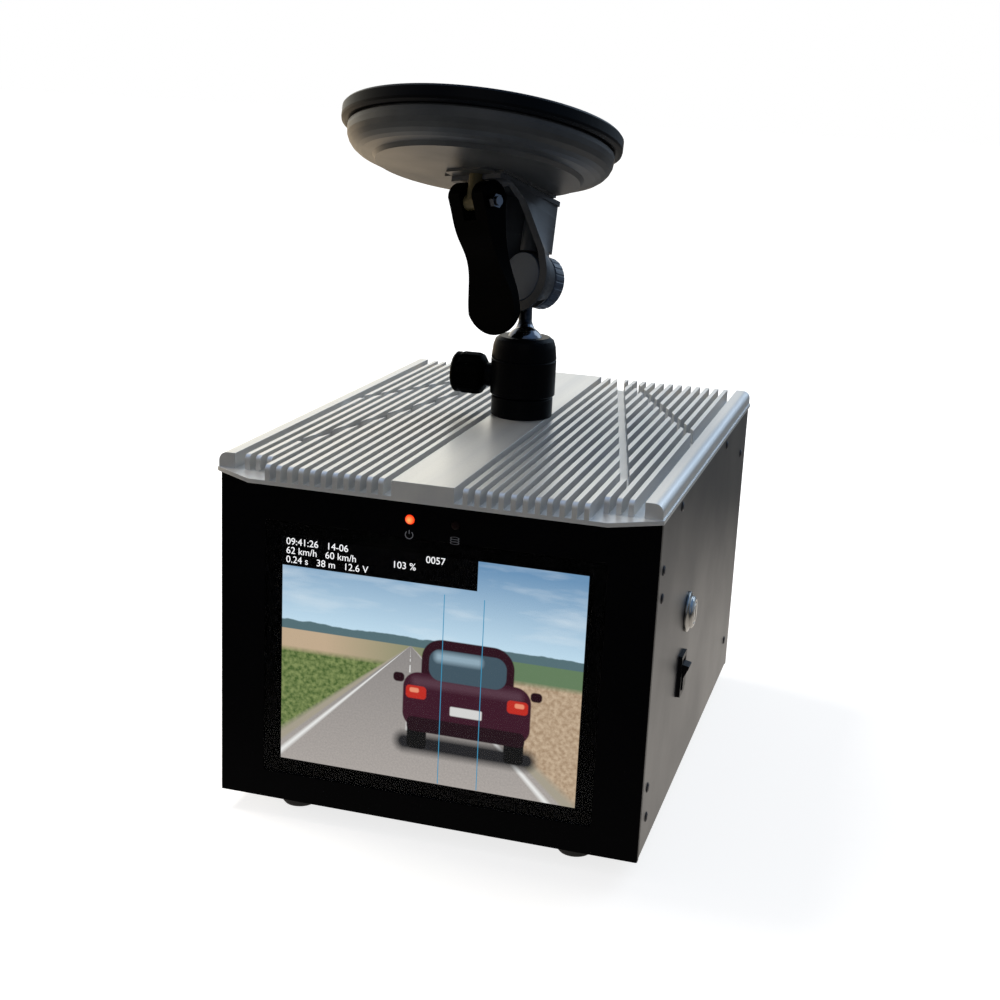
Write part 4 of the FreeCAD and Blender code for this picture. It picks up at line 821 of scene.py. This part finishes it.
for side in BOTH:
    paint = dab(paint, LINE_BLUE, (ZONE_X + ZONE_HALF * side, -0.06), (0.0013, 0.32), CRISP, 0.0016)
paint = dab(paint, BLACK[:3], STRIP_CENTRE, STRIP_HALF, CRISP, CRISP)
half_high = PICTURE_H / PICTURE_W / 2
inside_x = ramp(maths("ABSOLUTE", across), 0.5, 0.5 - FADE)
inside_z = ramp(maths("ABSOLUTE", up), half_high, half_high - FADE)
paint = blend(maths("MULTIPLY", inside_x, inside_z), BLACK, paint)
print("the picture is black beyond 0.5 across and", round(half_high, 4), "up")

# %% Show the picture
canvas_inputs = {
    "Base Color": (0.004, 0.004, 0.005, 1.0),
    "Roughness": use(canvas, clouds, Clouds_per_metre=20.0, Lowest=0.3, Highest=0.4)["Value"],
    "Specular IOR Level": 0.05,
    "Emission Color": paint,
    "Emission Strength": 0.95,
}
connect(canvas, canvas_shader, canvas_inputs)
dress("screen_picture", "lcd_panel")
print(len(canvas.nodes), "nodes paint the picture")

# %% [markdown]
# ## The black border of the window
#
# A window like this is printed black on its back, round the picture, so that nothing of the steel frame
# behind it shows. The print is a flat ring: a grid of one face is extruded outwards along its edges,
# the middle is deleted, and the ring that is left gets a thickness.

# %% Make a piece from a bmesh
MERGE = 1e-6


def new_piece(name, shape, material, body):
    """A mesh object from a bmesh, with outward faces, riding on a body."""
    bmesh.ops.remove_doubles(shape, verts=shape.verts, dist=MERGE)
    bmesh.ops.recalc_face_normals(shape, faces=shape.faces)
    mesh = bpy.data.meshes.new(name)
    shape.to_mesh(mesh)
    shape.free()
    mesh.materials.append(material)
    piece = bpy.data.objects.new(name, mesh)
    bpy.context.scene.collection.objects.link(piece)
    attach(piece, body)


print("points nearer than", MERGE, "m are merged")

# %% Print the border
WINDOW = (glass_low + glass_high) / 2
PRINT_T = 0.00005
PRINT_INSET = 0.0004
PRINT_GAP = 0.0001

glass_size = glass_high - glass_low
margin = min(glass_size.x - PICTURE_W, glass_size.z - PICTURE_H) / 2 - PRINT_INSET
border = bmesh.new()
bmesh.ops.create_grid(border, x_segments=1, y_segments=1, size=0.5)
bmesh.ops.scale(border, vec=(PICTURE_W, PICTURE_H, 1.0), verts=border.verts)
rim = bmesh.ops.extrude_edge_only(border, edges=border.edges)["geom"]
rim = [v for v in rim if isinstance(v, bmesh.types.BMVert)]
wider = (1 + 2 * margin / PICTURE_W, 1 + 2 * margin / PICTURE_H, 1.0)
bmesh.ops.scale(border, vec=wider, verts=rim)
inner = [f for f in border.faces if not any(v in rim for v in f.verts)]
bmesh.ops.delete(border, geom=inner, context="FACES")
bmesh.ops.solidify(border, geom=border.faces, thickness=PRINT_T)
bmesh.ops.rotate(border, matrix=Matrix.Rotation(math.pi / 2, 3, "X"), verts=border.verts)
bmesh.ops.translate(border, vec=(WINDOW.x, glass_high.y + PRINT_GAP, WINDOW.z), verts=border.verts)
finish("border_ink", (0.0012, 0.0012, 0.0015), (0.4, 0.5), grains=1500, relief=0.004, dusty=0.0, shine=0.03)
new_piece("window_border", border, finishes["border_ink"], "case")
print("the border is", round(margin, 4), "m wide")

# %% [markdown]
# ## Numbers on the screen
#
# The strip shows a clock, a count, two speeds, their ratio, and a time, a distance and a voltage, as
# any such unit does. They are only numbers, cut from Blender's own font as thin glowing plates that lie
# on the cell, behind the window. Text is made a mesh before it is placed, so the finished piece keeps
# its place in its mesh.

# %% Make glowing digits
GLOW_DIM = (0.6, 0.6, 0.6, 1)
FACE_FORWARD = Matrix.Rotation(math.pi / 2, 4, "X")

tree, shader = new_finish("digit_glow")
soft = use(tree, clouds, Clouds_per_metre=200.0, Lowest=0.9, Highest=1.0)["Value"]
digit_colour = mixed(tree, soft, GLOW_DIM, WHITE)
connect(tree, shader, {"Base Color": digit_colour, "Emission Color": digit_colour, "Emission Strength": 0.9})


def written(name, words, size, place, thickness, material):
    """Text as a thin plate, standing at place and facing the front."""
    curve = bpy.data.curves.new(name + "_curve", "FONT")
    curve.body = words
    curve.size = size
    curve.extrude = thickness / 2
    source = bpy.data.objects.new(name + "_source", curve)
    bpy.context.scene.collection.objects.link(source)
    bpy.context.view_layer.update()
    mesh = bpy.data.meshes.new_from_object(source.evaluated_get(bpy.context.evaluated_depsgraph_get()))
    bpy.data.objects.remove(source)
    mesh.transform(Matrix.Translation(place) @ FACE_FORWARD)
    mesh.name = name
    mesh.materials.clear()
    mesh.materials.append(material)
    piece = bpy.data.objects.new(name, mesh)
    bpy.context.scene.collection.objects.link(piece)
    return piece


print("digits glow through", len(tree.nodes), "nodes")

# %% Write the readings
DIGIT_SIZE = 0.0052
DIGIT_T = 0.00008
DIGIT_GAP = 0.00006
TOP_ROW, MIDDLE_ROW, LOW_ROW = 0.355, 0.325, 0.295
LEFT = -0.488
# Each row is a piece's name, its words, and its place in picture widths from the middle.
READINGS = [
    ("screen_clock", "09:41:26   14-06", LEFT, TOP_ROW),
    ("screen_count", "0057", -0.02, TOP_ROW),
    ("screen_speed", "62 km/h   60 km/h", LEFT, MIDDLE_ROW),
    ("screen_share", "103 %", -0.13, MIDDLE_ROW),
    ("screen_range", "0.24 s   38 m   12.6 V", LEFT, LOW_ROW),
]

for name, words, x, z in READINGS:
    place = SCREEN + Vector((x * PICTURE_W, -DIGIT_GAP, z * PICTURE_W))
    digits = written(name, words, DIGIT_SIZE, place, DIGIT_T, finishes["digit_glow"])
    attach(digits, "case")
print(len(READINGS), "readings")

# %% [markdown]
# ## Symbols by the lamps
#
# Under each lamp the real frame carries a small printed mark. Generic symbols stand there: the ring and
# bar that mean power, and a stack of platters for the disk. They are pad-printed, so each is a film a
# few hundredths of a millimetre thick. A spin of a small rectangle makes an arc.

# %% Make the strokes of ink
INK_T = 0.00004
ARC_STEPS = 28

finish("mark_ink", (0.24, 0.25, 0.28), (0.5, 0.6), grains=2500, relief=0.002, dusty=0.0)


def printed_bar(shape, centre, width, height):
    """A flat bar of ink on the front."""
    made = bmesh.ops.create_cube(shape, size=1.0)["verts"]
    bmesh.ops.scale(shape, vec=(width, INK_T, height), verts=made)
    bmesh.ops.translate(shape, vec=centre, verts=made)


def printed_arc(shape, centre, radius, line, start, sweep, flatten=1.0):
    """An arc of ink: a small rectangle spun about the line that points at the viewer."""
    inner, outer = radius - line / 2, radius + line / 2
    back, front = INK_T / 2, -INK_T / 2
    corners = [(inner, front), (outer, front), (outer, back), (inner, back)]
    ring = [shape.verts.new((x, y, 0.0)) for x, y in corners]
    face = shape.faces.new(ring)
    bmesh.ops.rotate(shape, verts=ring, matrix=Matrix.Rotation(start, 3, "Y"))
    full = abs(sweep) >= math.tau
    turn = {"axis": (0, 1, 0), "angle": sweep, "steps": ARC_STEPS}
    bmesh.ops.spin(shape, geom=[face], use_merge=full, use_duplicate=False, **turn)
    # Earlier strokes are tagged, so that only this one is moved.
    verts = list({v for f in shape.faces for v in f.verts if not v.tag})
    if full and face.is_valid:
        bmesh.ops.delete(shape, geom=[face], context="FACES_ONLY")
    bmesh.ops.scale(shape, vec=(1.0, 1.0, flatten), verts=verts)
    bmesh.ops.translate(shape, vec=centre, verts=verts)
    for v in shape.verts:
        v.tag = True


print("a stroke is", INK_T, "m thick")

# %% Print the symbols
MARK_DROP = 0.0078
POWER_RADIUS, POWER_LINE, POWER_SWEEP = 0.0020, 0.0004, 280
BAR_LIFT, BAR_LENGTH = 0.0015, 0.0021
DISK_RADIUS, DISK_LINE, DISK_STEP, DISK_FLATTEN = 0.0022, 0.00036, 0.0012, 0.32

lamp_low, lamp_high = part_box("power_indicator")
disk_low, disk_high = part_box("disk_indicator")
lamp_middle = (lamp_low + lamp_high) / 2
disk_middle = (disk_low + disk_high) / 2
lift = Vector((0.0, 0.0, 1.0))
power_place = Vector((lamp_middle.x, FRONT_Y - INK_T / 2, lamp_middle.z - MARK_DROP))
disk_place = Vector((disk_middle.x, power_place.y, power_place.z))

power_mark = bmesh.new()
# The ring starts beside the bar and goes round below it, so its gap is at the top.
start = math.radians(POWER_SWEEP / 2 - 270)
printed_arc(power_mark, power_place, POWER_RADIUS, POWER_LINE, start, -math.radians(POWER_SWEEP))
printed_bar(power_mark, power_place + BAR_LIFT * lift, POWER_LINE, BAR_LENGTH)
new_piece("power_symbol", power_mark, finishes["mark_ink"], "case")

disk_mark = bmesh.new()
for level in (DISK_STEP, 0.0, -DISK_STEP):
    printed_arc(disk_mark, disk_place + level * lift, DISK_RADIUS, DISK_LINE, 0.0, math.tau, DISK_FLATTEN)
new_piece("disk_symbol", disk_mark, finishes["mark_ink"], "case")
print("marks at", [round(v, 4) for v in power_place], [round(v, 4) for v in disk_place])

# %% [markdown]
# ## Softened edges
#
# No machined or folded edge is perfectly sharp: a narrow round along it catches the light and makes the
# part read as solid. The solids are triangles, so modifiers finish them without touching their meshes:
# Weld joins the triangles, Decimate removes the lines inside flat faces, and Bevel rounds what is left
# sharp. Weighted Normal then keeps flat faces flat in the shading.

# %% Round the edges
WELD_GAP = 0.000002
FLAT_DEGREES, CORNER_DEGREES = 0.4, 35.0
ROUND_SEGMENTS = 2
FINE_ROUND, WIDE_ROUND = 0.0003, 0.0005


def soften(name, width):
    """Adds the finishing modifiers to a solid. width is the round's, in metres."""
    piece = nodes[name]
    weld = piece.modifiers.new("weld", "WELD")
    weld.merge_threshold = WELD_GAP
    flat = piece.modifiers.new("flat", "DECIMATE")
    flat.decimate_type = "DISSOLVE"
    flat.angle_limit = math.radians(FLAT_DEGREES)
    rounds = piece.modifiers.new("rounds", "BEVEL")
    rounds.width = width
    rounds.segments = ROUND_SEGMENTS
    rounds.limit_method = "ANGLE"
    rounds.angle_limit = math.radians(CORNER_DEGREES)
    rounds.use_clamp_overlap = True
    shading = piece.modifiers.new("shading", "WEIGHTED_NORMAL")
    shading.keep_sharp = False


fine = ["heatsink_top", "side_panel_right", "side_panel_left", "rear_panel", "key_switch_housing"]
fine += ["ball_collar", "ball_housing", "pan_base", "rocker_frame"]
wide = ["front_bezel", "mount_bracket", "radome_cover", "clamp_lever", "lock_knob", "pivot_knob"]
for names, width in ((fine, FINE_ROUND), (wide, WIDE_ROUND)):
    for name in names:
        soften(name, width)
print("softened", [n for n, o in nodes.items() if o.modifiers])
